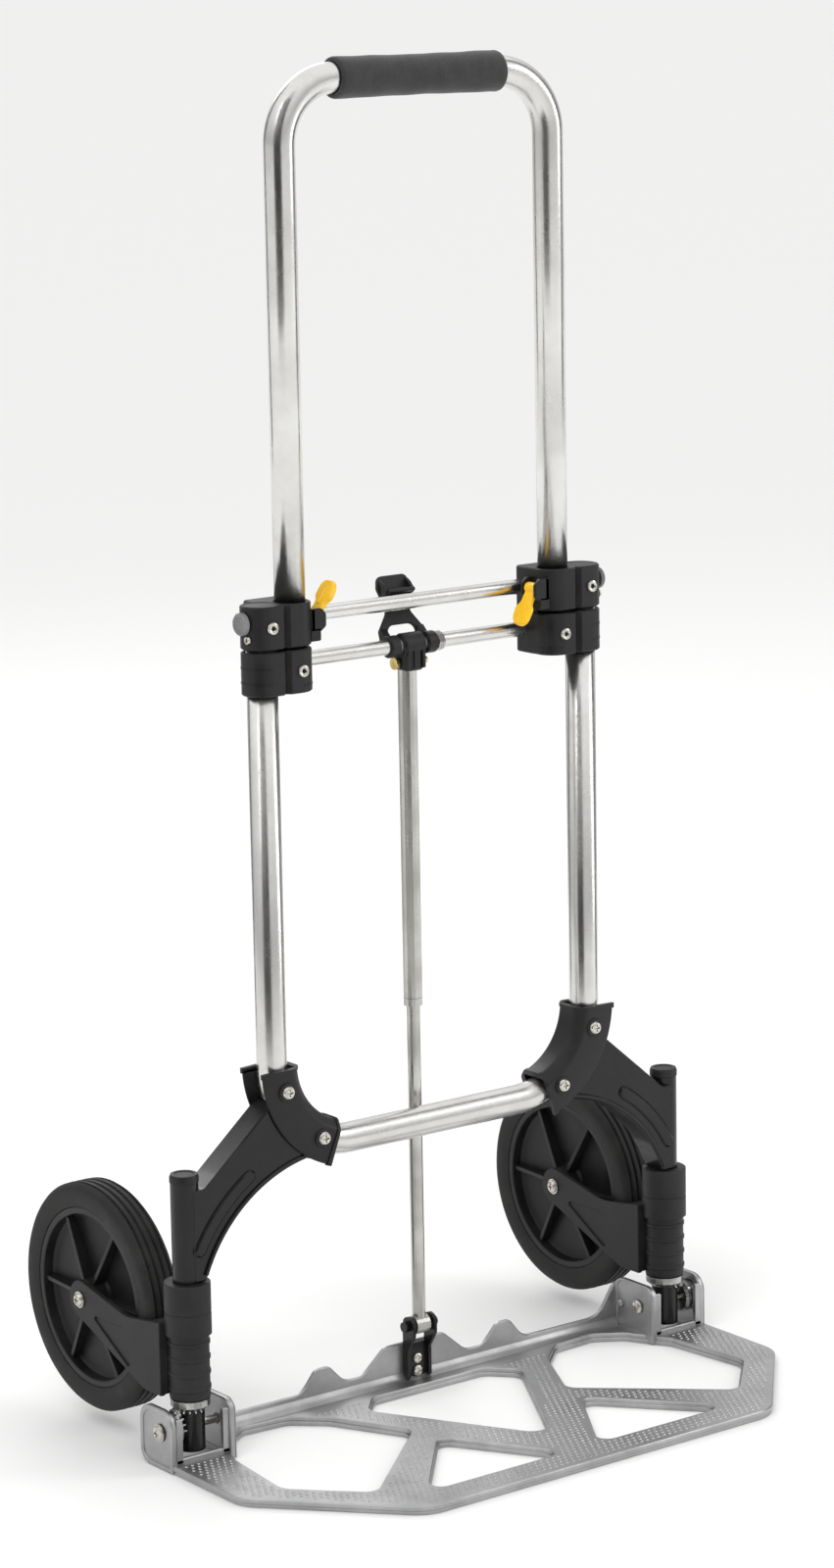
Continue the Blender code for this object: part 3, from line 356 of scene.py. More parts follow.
def tyre_rubber():
    look, tree, shader, where = surface("tyre_rubber", (0.03, 0.03, 0.03), 0.0, 0.62)
    grain = noise(tree, where, 700, 3)
    dust = noise(tree, where, 34, 6, rough=0.7)
    tree.links.new(ranged(tree, dust, 0.5, 0.78), shader.inputs["Roughness"])
    tinted(tree, shader, ranged(tree, dust, 0, 1, 0.42, 0.75), (0.010, 0.010, 0.010),
           (0.034, 0.033, 0.031))
    shader.inputs["Specular IOR Level"].default_value = 0.3
    bumped(tree, shader, [(grain, 0.3)], 0.0004)
    return look


def foam():
    look, tree, shader, where = surface("foam_sleeve", (0.018, 0.018, 0.019), 0.0, 0.85)
    shader.inputs["Sheen Weight"].default_value = 0.25
    shader.inputs["Sheen Roughness"].default_value = 0.5
    cells = tree.nodes.new("ShaderNodeTexVoronoi")
    cells.inputs["Scale"].default_value = 900
    tree.links.new(where, cells.inputs["Vector"])
    soft = noise(tree, where, 120, 5)
    tinted(tree, shader, ranged(tree, soft, 0, 1), (0.012, 0.012, 0.013), (0.032, 0.032, 0.033))
    tree.links.new(ranged(tree, soft, 0.74, 0.92), shader.inputs["Roughness"])
    bumped(tree, shader, [(cells.outputs["Distance"], 0.45), (soft, 0.3)], 0.0006)
    return look


def cast_plate():
    look, tree, shader, where = surface("cast_aluminium", (0.33, 0.33, 0.335), 1.0, 0.4)
    grain = noise(tree, where, 1100, 3)
    cloud = noise(tree, where, 18, 6, rough=0.68)
    scuffs = noise(tree, where, 60, 4, (14, 0.8, 1))
    tree.links.new(ranged(tree, cloud, 0.34, 0.50), shader.inputs["Roughness"])
    tinted(tree, shader, ranged(tree, cloud, 0, 1), (0.47, 0.47, 0.472), (0.36, 0.36, 0.365))
    bumped(tree, shader, [(scuffs, 0.05), (grain, 0.16)], 0.0004)
    return look


def zinc(name="zinc_plate", first=(0.72, 0.70, 0.64), second=(0.52, 0.50, 0.45)):
    look, tree, shader, where = surface(name, first, 1.0, 0.28)
    cloud = noise(tree, where, 160, 4)
    tree.links.new(ranged(tree, cloud, 0.18, 0.4), shader.inputs["Roughness"])
    tinted(tree, shader, ranged(tree, cloud, 0, 1), first, second)
    bumped(tree, shader, [(noise(tree, where, 900, 2), 0.1)], 0.0003)
    return look


def yellow_plastic():
    look, tree, shader, where = surface("yellow_moulding", (0.86, 0.56, 0.02), 0.0, 0.36)
    shader.inputs["Subsurface Weight"].default_value = 0.08
    shader.inputs["Subsurface Radius"].default_value = (0.004, 0.002, 0.001)
    flow = noise(tree, where, 60, 4)
    tree.links.new(ranged(tree, flow, 0.3, 0.46), shader.inputs["Roughness"])
    tinted(tree, shader, ranged(tree, flow, 0, 1), (1.0, 0.60, 0.0), (0.92, 0.48, 0.0))
    bumped(tree, shader, [(noise(tree, where, 1300, 2), 0.15)], 0.0003)
    return look


LOOKS = {
    "chrome_tube": polished_tube(), "steel_bar": drawn_steel(), "zinc_fastener": zinc(),
    "gear_steel": zinc("gear_steel", (0.50, 0.50, 0.49), (0.34, 0.34, 0.33)),
    "black_paint": black_paint(), "black_plastic": black_plastic(), "foam": foam(),
    "tyre_rubber": tyre_rubber(), "cast_plate": cast_plate(), "yellow_plastic": yellow_plastic(),
    "grey_plastic": black_plastic("grey_moulding", 0.16, 0.4),
}
BRASS = zinc("yellow_zinc", (0.66, 0.52, 0.22), (0.50, 0.38, 0.14))
# Near-black discs set in the hollow rivets' holes: painted shade in place of the dark inside of
# each hole.
RIVET_HOLE_SHADE = black_plastic("rivet_core", 0.004, 0.6)
FORK_PLASTIC = black_plastic("fork_moulding", 0.013, 0.5)


def dress_cad_nodes():
    """Give each CAD node its slot's finish, but for the collar, clevis and strut bolt."""
    for part in frame["record"]["subparts"]:
        node = frame["nodes"][part["node"]]
        look = LOOKS["steel_bar" if part["node"] == "strut_bush" else part["material_slot"]]
        look = LOOKS["black_paint"] if part["node"] == "clevis" else look
        look = BRASS if part["node"] == "strut_bolt" else look
        node.data.materials.clear()
        node.data.materials.append(look)
        node.data.shade_smooth()
        node.data.set_sharp_from_angle(angle=math.radians(32))


# ---------------------------------------------------------------- tubes and grip

def edges_of(grown):
    return [item for item in grown if isinstance(item, bmesh.types.BMEdge)]


def run(bm, edges, vector):
    """Draw a ring of edges out straight, and give back the ring at the far end."""
    grown = bmesh.ops.extrude_edge_only(bm, edges=edges)["geom"]
    verts = [item for item in grown if isinstance(item, bmesh.types.BMVert)]
    bmesh.ops.translate(bm, verts=verts, vec=vector)
    return [edge for edge in edges_of(grown) if all(vert in verts for vert in edge.verts)]


def bend(bm, edges, centre, degrees):
    """Draw a ring of edges round a bend, and give back the ring at the far end."""
    grown = bmesh.ops.spin(bm, geom=edges, cent=centre, axis=(0, 1, 0),
                           angle=math.radians(degrees), steps=20)
    return edges_of(grown["geom_last"])


def u_tube(half_width, end, bar, radius):
    """A U of tube: along one leg, round a bend, along the bar, round again and back."""
    up = 1 if bar > end else -1
    middle = bar - up * radius
    bm = bmesh.new()
    ring = bmesh.ops.create_circle(bm, segments=48, radius=TUBE)["verts"]
    bmesh.ops.translate(bm, verts=ring, vec=(half_width, 0, end))
    edges = run(bm, bm.edges[:], (0, 0, middle - end))
    edges = bend(bm, edges, (half_width - radius, 0, middle), -90 * up)
    edges = run(bm, edges, (-2 * (half_width - radius), 0, 0))
    edges = bend(bm, edges, (radius - half_width, 0, middle), -90 * up)
    run(bm, edges, (0, 0, end - middle))
    bmesh.ops.recalc_face_normals(bm, faces=bm.faces)
    probe = min(bm.faces, key=lambda face: -face.calc_center_median().x)
    if probe.normal.x < 0:
        bmesh.ops.reverse_faces(bm, faces=bm.faces)
    return bm


def tubes():
    lower = (LOWER_X, LOWER_TOP, LOWER_BAR, LOWER_BEND)
    bow = (HANDLE_X, HANDLE_FOOT, HANDLE_TOP, HANDLE_BEND)
    for name, body, node, sizes in (("lower_tube", "root", "lower_frame", lower),
                                    ("handle_bow", "handle", "handle_tube", bow)):
        tube = piece(name, u_tube(*sizes), LOOKS["chrome_tube"], body, [node],
                     crease=60)
        wall = tube.modifiers.new("wall", "SOLIDIFY")
        wall.thickness = TUBE_WALL * MM
        wall.offset = -1


def grip():
    """A foam sleeve, rounded at its ends and a little uneven all over."""
    half, bore, outer = 72.0, TUBE + 0.3, 14.5
    rim = 2.6
    profile = [(bore, -half + 0.8)]
    for degrees in (10, 35, 60, 90):
        t = math.radians(degrees)
        profile.append((outer - rim + rim * math.sin(t), -half + rim - rim * math.cos(t)))
    for step in range(1, 36):
        z = -half + rim + (2 * half - 2 * rim) * step / 36
        swell = 0.25 * math.cos(math.pi * z / half) + 0.12 * math.sin(z * 0.21)
        profile.append((outer - 0.3 - swell, z))
    profile += [(r, -z) for r, z in reversed(profile[1:5])]
    profile.append((bore, half - 0.8))
    bm = turned("X", (0, HANDLE_TOP), profile, 64)
    for vert in bm.verts:
        x, y, z = vert.co
        around = math.atan2(z - HANDLE_TOP, y)
        dent = 0.18 * math.sin(3 * around + x * 0.05) * math.sin(x * 0.083)
        vert.co.y -= dent * math.cos(around)
        vert.co.z -= dent * math.sin(around)
    sleeve = piece("grip_sleeve", bm, LOOKS["foam"], "handle", ["foam_grip"], crease=80)


def posts():
    wall = [(POST - 1.2, 10), (POST, 10), (POST, 205), (POST - 1.2, 205)]
    pair("post_tube", lambda: turned("Z", (POST_X, 0), wall, 40), LOOKS["black_paint"], "root",
         ["{}_post"], "black_paint")
    top = [(0, 205.3), (POST + 0.4, 205.3), (POST + 0.4, 209), (POST - 0.4, 211), (POST - 3, 211.3),
           (POST - 3.6, 210.6), (0, 210.6)]
    pair("post_plug", lambda: turned("Z", (POST_X, 0), top, 40), LOOKS["black_plastic"], "root",
         ["{}_post_cap"])


def bars():
    for name, body, node, z in (("upper_bar", "root", "upper_crossbar", UPPER_CROSSBAR),
                                ("lower_bar", "handle", "lower_crossbar", LOWER_CROSSBAR)):
        profile = [(0, -130), (5.2, -130), (5.5, -129.6), (5.5, 129.6), (5.2, 130), (0, 130)]
        piece(name, turned("X", (BAR_Y, z), profile, 40), LOOKS["chrome_tube"], body, [node])


# ---------------------------------------------------------------- sliding blocks

def block_outline():
    """The block seen from above: two lobes, a front groove and a square back."""
    middle = (LOWER_X + HANDLE_X) / 2
    outline = arc((LOWER_X, 0), BLOCK_LOBE, -90, 84, 22)
    outline += rounded([(140, 14.6, 0), (140, 26, 4), (102, 26, 4), (102, 8, 0)], 5)
    outline += arc((HANDLE_X, 0), BLOCK_LOBE, 172, 270, 12)
    groove = [(-3, -14.4), (-1, -12.4), (0, -11.6), (1, -12.4), (3, -14.4)]
    return outline + [(middle + x, y) for x, y in groove]


def block_shell(low, closed_x):
    """A block with its two tube bores; the bore at closed_x is capped a little way in."""
    high = low + BLOCK_HEIGHT
    bores = [circle((x, 0), TUBE + 0.3, 40) for x in (LOWER_X, HANDLE_X)]
    bm = slab("Z", block_outline(), low, high, bores, chamfer=0.9)
    lid = (high - 2.2, high - 0.4) if closed_x == LOWER_X else (low + 0.4, low + 2.0)
    return add(bm, slab("Z", circle((closed_x, 0), TUBE + 0.6, 40), *lid))


def band(x, z):
    """A thin raised parting line round the outer half of a lobe."""
    start, end = (-88, 84) if x == LOWER_X else (176, 268)
    outline = arc((x, 0), BLOCK_LOBE + 0.35, start, end, 20)
    outline += arc((x, 0), BLOCK_LOBE - 1.5, end, start, 20)
    return slab("Z", outline, z, z + 0.7)


def upper_block():
    """The block on the lower tube, with the boss that carries the lock lever."""
    bm = block_shell(UPPER_BLOCK, LOWER_X)
    for y in ((-10.0, -7.0), (5.0, 8.0)):
        outline = rounded([(106, 582, 0), (106, 598, 0), (97, 598, 4), (93, 594, 3), (93, 585, 3),
                           (97, 582, 1)], 5)
        bm = add(bm, slab("Y", outline, y[0], y[1], chamfer=0.5))
    return add(bm, block((98, 106), (-10, 8), (575, 584.5), 0.8),
               block((103, 106), (-10, 8), (583, 597.5)))


def lower_block():
    """The block on the handle tube, with its fine parting lines."""
    bm = block_shell(LOWER_BLOCK, HANDLE_X)
    for z in (LOWER_BLOCK + 8.5, LOWER_BLOCK + 19):
        bm = add(bm, band(LOWER_X, z))
    return add(bm, band(HANDLE_X, LOWER_BLOCK + 5))


def eyelet(axis, centre, seat, sign, radius=4.5):
    """A hollow rivet's rolled head."""
    dome = [(1.5, -0.4), (1.7, 0.9), (2.3, 1.5), (3.2, 1.7), (4.0, 1.35), (4.5, 0.5), (4.5, 0)]
    profile = [(r * radius / 4.5, seat + sign * h) for r, h in dome]
    return turned(axis, centre, profile + [(1.5 * radius / 4.5, seat)], 32)


# A dark disc that plugs the hole of a hollow rivet: painted shade for the hole's inside, not a real
# part.
def hole_shade_disc(axis, centre, seat, sign, radius=1.5):
    profile = [(0, seat - sign * 0.5), (radius, seat - sign * 0.5), (radius, seat + sign * 0.3),
               (0, seat + sign * 0.3)]
    return turned(axis, centre, profile, 20)


def blocks():
    pair("upper_block_shell", upper_block, LOOKS["black_plastic"], "root", ["{}_upper_block"])
    pair("lower_block_shell", lower_block, LOOKS["black_plastic"], "handle", ["{}_lower_block"])
    for name, body, x, z in (("upper_rivet", "root", LOWER_X, 589.0),
                             ("lower_rivet", "handle", HANDLE_X, 556.5)):
        seat = -BLOCK_LOBE - 0.1
        pair(name + "_head", lambda: eyelet("Y", (x, z), seat, -1), LOOKS["zinc_fastener"], body,
             ["{}_" + name], "zinc_fastener")
        # Each rivet's hole is filled with a near-black disc of painted shade.
        pair(name + "_core", lambda: hole_shade_disc("Y", (x, z), seat, -1), RIVET_HOLE_SHADE, body)
    outer = LOWER_X + BLOCK_LOBE
    pair("side_rivet", lambda: eyelet("X", (-4, 581), outer - 0.6, 1, 3.0), LOOKS["zinc_fastener"],
         "root", slot="zinc_fastener")
    # The side rivet's hole gets a near-black disc of painted shade too.
    pair("side_rivet_core", lambda: hole_shade_disc("X", (-4, 581), outer - 0.6, 1, 1.0), RIVET_HOLE_SHADE, "root")
    disc = [(0, outer + 0.3), (8, outer + 0.3), (8, outer + 3.2), (7, outer + 4.3),
            (5.4, outer + 4.3), (5.0, outer + 3.7), (0, outer + 3.9)]
    pair("lock_disc", lambda: turned("X", (0, LOCK_Z), disc, 40), LOOKS["grey_plastic"], "root",
         ["{}_lock_cap"], "grey_plastic")


def lever_shape(tilt, place):
    """A flared paddle on a round hub, turned to its rest angle."""
    half = 9.0
    blade = rounded([(1, -5.4, 0), (12, -5.4, 5), (16, -half, 4), (29, -half + 1, 7),
                     (29, half - 1, 7), (16, half, 4), (12, 5.4, 5), (1, 5.4, 0)], 6)
    bm = slab("Z", blade, -2.1, 2.1, chamfer=1.0)
    for vert in bm.verts:
        vert.co.z += 1.4 * max(0.0, (vert.co.x - 12) / 17) ** 2
    hub = [(1.9, -5.7), (3.6, -5.7), (4.2, -5.1), (4.2, 5.1), (3.6, 5.7), (1.9, 5.7)]
    bm = add(bm, turned("Y", (0, 0), hub, 28), block((10, 24), (-1.2, 1.2), (0.5, 3.0), 0.6))
    turn(bm, -tilt, "Y")
    return shift(bm, *place)


def levers():
    for side, sign, tilt in (("right", 1, 240.0), ("left", -1, 53.8)):
        bm = lever_shape(tilt, (sign * LEVER_PIVOT[0], *LEVER_PIVOT[1:]))
        piece(side + "_lock_lever", bm, LOOKS["yellow_plastic"], side + "_lever",
              [side + "_lever"])


# ---------------------------------------------------------------- elbows and gussets

def elbow_section(proud=0.0):
    """Across the elbow: rounded inside the bend, open outside it, round the tube."""
    outer, seat, inner, wall = 82.0 + proud, TUBE + 0.3, 49.2 - proud, 15.2 + proud
    return rounded([(inner, -9, 5), (56, -wall, 5), (outer, -wall + 1.6, 1.2), (outer, -seat, 0.4),
                    (53.0, -seat, 1.0), (53.0, seat, 1.0), (outer, seat, 0.4),
                    (outer, wall - 1.6, 1.2), (56, wall, 5), (inner, 9, 5)], 4)


def elbow_sweep(section, start, end, steps):
    bm = bmesh.new()
    face = bm.faces.new([bm.verts.new((radius, y, 0)) for radius, y in section])
    turn(bm, start, "Y")
    bmesh.ops.spin(bm, geom=[face], axis=(0, 1, 0), angle=math.radians(end - start), steps=steps)
    face_out(bm)
    return shift(bm, BEND_CENTRE[0], 0, BEND_CENTRE[1])


def elbow():
    """A clamp swept round the tube bend, with a raised lip at each end."""
    bm = elbow_sweep(elbow_section(), 3.0, 71.0, 24)
    for start in (1.5, 69.5):
        bm = add(bm, elbow_sweep(elbow_section(0.9), start, start + 2.6, 3))
    return bm


def cross_screw(axis, centre, seat, sign, radius=5.0, height=3.0):
    """A pan head with a cross recess; sign is the way the head points along the axis."""
    dome = [(0, height), (radius * 0.45, height), (radius * 0.78, height * 0.86),
            (radius * 0.95, height * 0.55), (radius, height * 0.2), (radius, 0), (0, 0)]
    bm = turned("Z", (0, 0), dome, 32)
    arm, thin = radius * 0.52, radius * 0.13
    for x, y in ((arm, thin), (thin, arm)):
        bm = cut(bm, block((-x, x), (-y, y), (height * 0.45, height + 1)))
    for vert in bm.verts:
        x, y, z = vert.co
        vert.co = put(axis, centre[0] + x, centre[1] + y, seat + sign * z)
    return face_out(bm)


def gusset():
    """The black sheet box from elbow to post, with a long bead and a rolled lower edge."""
    lower = arc(ARCH_CENTRE, ARCH_RADIUS, 86, 20.1, 28)
    upper = [(POST_X, 133.5), (POST_X, 200), (211.5, 200), (208.5, 200.6)]
    bm = slab("Y", lower + upper + arc(BEND_CENTRE, 76.6, -19, -66, 16), -11, 11, chamfer=1.1)
    edge = arc(ARCH_CENTRE, ARCH_RADIUS + 1, 84, 22, 20)
    first, last = (arc(ARCH_CENTRE, BEAD_RADIUS, end, end, 1)[0] for end in BEAD_ENDS)
    for low, high in ((-12.7, -10.2), (10.2, 12.7)):
        bead = arc(ARCH_CENTRE, BEAD_RADIUS - BEAD_HALF, *BEAD_ENDS, 14)
        bead += arc(last, BEAD_HALF, BEAD_ENDS[1] + 180, BEAD_ENDS[1], 6)[1:-1]
        bead += arc(ARCH_CENTRE, BEAD_RADIUS + BEAD_HALF, *reversed(BEAD_ENDS), 14)
        bead += arc(first, BEAD_HALF, BEAD_ENDS[0], BEAD_ENDS[0] - 180, 6)[1:-1]
        bm = add(bm, slab("Y", bead, low, high, chamfer=1.4))
        lip = edge + arc(ARCH_CENTRE, ARCH_RADIUS + 4.2, 22, 84, 20)
        bm = add(bm, slab("Y", lip, low, high, chamfer=0.6))
    return bm


def shoulders():
    pair("elbow_clamp", elbow, LOOKS["black_plastic"], "root", ["{}_elbow"])
    pair("gusset_box", gusset, LOOKS["black_paint"], "root", ["{}_gusset"], "black_paint")
    for number, angle in enumerate(SCREW_ANGLES, 1):
        place = arc(BEND_CENTRE, LOWER_BEND, -angle, -angle, 1)[0]
        node = "{}_elbow_screw_%d" % number
        boss = [(0, -15.8), (6.6, -15.8), (6.9, -15.4), (6.9, -14.5), (0, -14.5)]
        pair("clamp_screw_%d" % number, lambda: cross_screw("Y", place, -15.7, -1),
             LOOKS["zinc_fastener"], "root", [node], "zinc_fastener")
        pair("clamp_boss_%d" % number, lambda: turned("Y", place, boss, 32),
             LOOKS["black_plastic"], "root")


# ---------------------------------------------------------------- forks and wheels

def sleeve_profile():
    """The sleeve from its foot to the collar, with raised bands."""
    profile = [(10.3, 48.2), (13.9, 48.2), (14.6, 49)]
    for z in (56, 67, 78, 89):
        profile += [(14.6, z - 1.6), (15.3, z - 1.0), (15.3, z + 1.0), (14.6, z + 1.6)]
    profile += [(14.6, 94.4), (16.7, 95), (16.7, 110.2), (16.2, 110.8), (16.2, 111.4), (16.7, 112),
                (16.7, 132.2), (16.2, 132.8), (10.3, 132.8)]
    return profile


def fork():
    """A ribbed sleeve and collar, with two cheeks that carry the wheel."""
    inner, outer = 16.0, 19.6
    tip = arc((AXLE_Y, AXLE_Z), 14, -56, 103, 20)
    arm = [(8, 50), (30, 50)] + tip + [(56, 99.2), (50, 98.6), (44, 99), (8, 104)]
    panel = rounded([(97, 88, 2), (50, 89, 3), (46, 59, 3)], 5)
    bm = turned("Z", (POST_X, 0), sleeve_profile(), 48)
    for side in (-1, 1):
        skin = sorted((POST_X + side * inner, POST_X + side * (outer - 1.4)))
        face = sorted((POST_X + side * (outer - 1.6), POST_X + side * outer))
        hole = circle((AXLE_Y, AXLE_Z), 4.3, 20)
        bm = add(bm, slab("X", arm, skin[0], skin[1], [hole]),
                 slab("X", arm, face[0], face[1], [hole, panel], chamfer=0.5))
    web = rounded([(POST_X - outer + 0.4, 8, 3), (POST_X + outer - 0.4, 8, 3),
                   (POST_X + outer - 0.4, 21, 2), (POST_X - outer + 0.4, 21, 2)], 4)
    return add(bm, slab("Z", web, 50.5, 102.5, [], chamfer=0.6))


def tyre():
    """A rubber ring with four grooves round its tread."""
    half, rim = 14.0, 84.0
    profile = [(66.2, -12.4), (67.2, -12.9), (72, -13.6), (77, -14.0), (80.2, -13.4), (82.4, -11.6)]
    for middle in (-8.4, -2.9, 2.9, 8.4):
        profile += [(rim - 0.25, middle - 1.3), (rim - 1.7, middle - 0.7),
                    (rim - 1.7, middle + 0.7), (rim - 0.25, middle + 1.3)]
        if middle < 8:
            profile.append((rim, middle + 2.8))
    profile += [(r, -z) for r, z in reversed(profile[:6])]
    return shift(turned("X", (AXLE_Y, AXLE_Z), profile, 112), POST_X)


def hub():
    """A thin web with a boss and rim, stiffened by six ribs on each face."""
    profile = [(7.8, -15.3), (12.6, -15.3), (13.6, -14.6), (14.4, -4.4), (16.5, -2.6), (57, -2.6),
               (60.4, -4.6), (61.2, -11.4), (62, -12), (65.7, -12), (65.7, 12), (62, 12),
               (61.2, 11.4),
               (60.4, 4.6), (57, 2.6), (16.5, 2.6), (14.4, 4.4), (13.6, 14.6), (12.6, 15.3),
               (7.8, 15.3)]
    bm = turned("X", (AXLE_Y, AXLE_Z), profile, 72)
    rib = [(12.5, 12.6), (61.5, 9.6), (61.5, 1), (12.5, 1)]
    for number in range(6):
        for side in (-1, 1):
            outline = [(radius, side * along) for radius, along in rib]
            spoke = slab("Z", outline, -1.7, 1.7, chamfer=0.35)
            for vert in spoke.verts:
                radius, along, thick = vert.co
                vert.co = (along, radius, thick)
            face_out(spoke)
            turn(spoke, 60 * number, "X")
            bm = add(bm, shift(spoke, 0, AXLE_Y, AXLE_Z))
    return shift(bm, POST_X)


def axle_head(side):
    seat = 19.9
    washer = [(radius, side * along) for radius, along in
              ((0, seat), (6.0, seat), (6.0, seat + 0.8), (0, seat + 0.8))]
    bm = turned("X", (AXLE_Y, AXLE_Z), washer, 32)
    bm = add(bm, cross_screw("X", (AXLE_Y, AXLE_Z), side * (seat + 0.6), side, 5.0, 2.6))
    return bm


def axle():
    shank = [(0, -19.9), (4, -19.9), (4, 19.9), (0, 19.9)]
    return shift(add(axle_head(1), axle_head(-1), turned("X", (AXLE_Y, AXLE_Z), shank, 24)), POST_X)


def running_gear():
    pair("wheel_fork", fork, FORK_PLASTIC, "{}_fork", ["{}_fork"])
    pair("axle_set", axle, LOOKS["zinc_fastener"], "{}_fork", ["{}_axle_bolt"], "zinc_fastener")
    pair("tyre_ring", tyre, LOOKS["tyre_rubber"], "{}_wheel", ["{}_tyre"], "tyre_rubber")
    pair("wheel_hub", hub, LOOKS["black_plastic"], "{}_wheel", ["{}_hub"])


# ---------------------------------------------------------------- toe plate

SIDE_OPENING = [(203, -28, 7), (211, -100, 14), (165, -147, 10), (71, -63, 10), (101, -4, 12),
                (124, 17, 12), (162, 20, 12), (183, 6, 6)]
REAR_OPENING = [(-52, 11, 12), (52, 11, 12), (71, -10, 10), (0, -134, 12), (-71, -10, 10)]
FRONT_OPENING = [(137, -168, 8), (66, -86, 8), (15, -168, 8)]
PLATE_OUTLINE = [(156, -194, 30), (245.5, -97, 25), (245.5, -12, 0), (198, -12, 0), (198, 26, 0),
                 (190, 31.5, 0)]


def mirrored(half):
    return half + [(-x, y, radius) for x, y, radius in reversed(half)]


def opening_loops(shrink):
    """The five openings, drawn in towards their middles by a few tenths where asked."""
    flip = [[(-x, y, radius) for x, y, radius in reversed(side)]
            for side in (SIDE_OPENING, FRONT_OPENING)]
    loops = []
    for corners in (SIDE_OPENING, FRONT_OPENING, flip[0], flip[1], REAR_OPENING):
        loop = [Vector(point) for point in rounded(corners, 7)]
        middle = sum(loop, Vector((0, 0))) / len(loop)
        loops.append([middle + (point - middle) * (1 - shrink / (point - middle).length)
                      for point in loop])
    return loops


def inside(point, loop):
    x, y = point
    hit = False
    for index in range(len(loop)):
        (x1, y1), (x2, y2) = loop[index - 1], loop[index]
        if (y1 > y) != (y2 > y) and x < (x2 - x1) * (y - y1) / (y2 - y1) + x1:
            hit = not hit
    return hit


def near(point, loop, reach):
    place = Vector(point)
    for index in range(len(loop)):
        first, second = Vector(loop[index - 1]), Vector(loop[index])
        run_along = second - first
        length = max(run_along.length_squared, 1e-9)
        share = max(0.0, min(1.0, (place - first).dot(run_along) / length))
        if (first + run_along * share - place).length < reach:
            return True
    return False


def tread():
    """Low round dots in diagonal rows over the plate's flat, clear of its edges and openings."""
    outline = [tuple(p) for p in rounded(mirrored(PLATE_OUTLINE), 6)]
    loops = opening_loops(0.0)
    bm = bmesh.new()
    pitch = 5.2
    for row in range(-40, 4):
        for column in range(-48, 49):
            x = (column + 0.5 * (row % 2)) * pitch
            y = row * pitch * 0.9 - 4
            if y > 8 or (abs(x) > 192 and y > -20):
                continue
            if not inside((x, y), outline) or near((x, y), outline, 6.0):
                continue
            if any(inside((x, y), loop) or near((x, y), loop, 4.2) for loop in loops):
                continue
            dot = bmesh.ops.create_cone(bm, cap_ends=True, segments=7, radius1=1.45, radius2=0.75,
                                        depth=0.75)["verts"]
            bmesh.ops.translate(bm, verts=dot, vec=(x, y, PLATE_TOP + 0.3))
    return bm


def flange():
    """The scalloped upright edge at the back of the plate, and its foot."""
    half = [(198, 3, 0), (198, 38.5, 0), (191.5, 38.5, 5), (176, 15.5, 20), (103, 15.5, 16),
            (90, 31.5, 7), (78, 31.5, 7), (64, 17, 15), (48, 17, 15), (27, 35, 7)]
    bm = slab("Y", rounded(mirrored(half), 8), 28.0, 31.5, chamfer=0.9)
    foot = [(28.3, 5.8), (28.3, 12.5), (26.6, 9.4), (24.0, 7.4), (20.5, 6.3), (20.5, 5.8)]
    return add(bm, slab("X", foot, -192, 192))


def ear(outline, x, rim):
    low, high = x
    hole = circle((0, HINGE_Z), 3.4, 20)
    bm = slab("X", outline, low, high, [hole], chamfer=0.8)
    middle = Vector([sum(column) / len(outline) for column in zip(*outline)])
    window = [middle + (Vector(p) - middle) * 0.84 for p in outline]
    return add(bm, slab("X", outline, rim[0], rim[1], [window], chamfer=0.4))


def hinge_ears():
    """The right-hand pair of hinge ears, with their front returns and sill."""
    top = HINGE_Z + 17.5
    outer = rounded([(-15.5, 0.6, 1), (24.5, 0.6, 10), (24.5, top, 12), (-15.5, top, 12)], 8)
    inner = rounded([(-17, 1, 0), (28.3, 1, 0), (28.3, top, 9), (-17, top, 9)], 8)
    bm = ear(outer, (241.3, 245.2), (244.8, 246.0))
    bm = add(bm, ear(inner, (192.6, 197.4), (192.0, 193.0)))
    bm = add(bm, block((197, 242), (-15.5, -12), (3, 10), 0.9))
    bm = add(bm, block((198, 242), (-15.6, -11.0), (0, 6.5), 0.5))
    bm = add(bm, block((236.6, 241.6), (-15.5, -12.5), (6, 39), 0.8))
    bm = add(bm, block((197.2, 202.2), (-15.5, -12.5), (6, 39), 0.8))
    pin = [(0, 189.8), (2.4, 189.8), (3, 190.6), (3, 192.6), (0, 192.6)]
    return add(bm, turned("X", (20, HINGE_Z - 2), pin, 24))


def toe_plate():
    outline = rounded(mirrored(PLATE_OUTLINE), 8)
    bm = slab("Z", outline, 2.6, PLATE_TOP, opening_loops(0.0), chamfer=0.8)
    middle = Vector((0, -80))
    lower = [middle + (Vector(p) - middle) * 0.996 for p in outline]
    bm = add(bm, slab("Z", lower, 0.0, 3.4, opening_loops(1.3), chamfer=0.5))
    bm = add(bm, flange())
    for side in (1, -1):
        ears = hinge_ears()
        if side < 0:
            bmesh.ops.scale(ears, verts=ears.verts, vec=(-1, 1, 1))
            bmesh.ops.reverse_faces(ears, faces=ears.faces)
        bm = add(bm, ears)
    piece("toe_plate_casting", bm, LOOKS["cast_plate"], "toe_plate", ["toe_plate"])
    piece("toe_plate_tread", tread(), LOOKS["cast_plate"], "toe_plate")


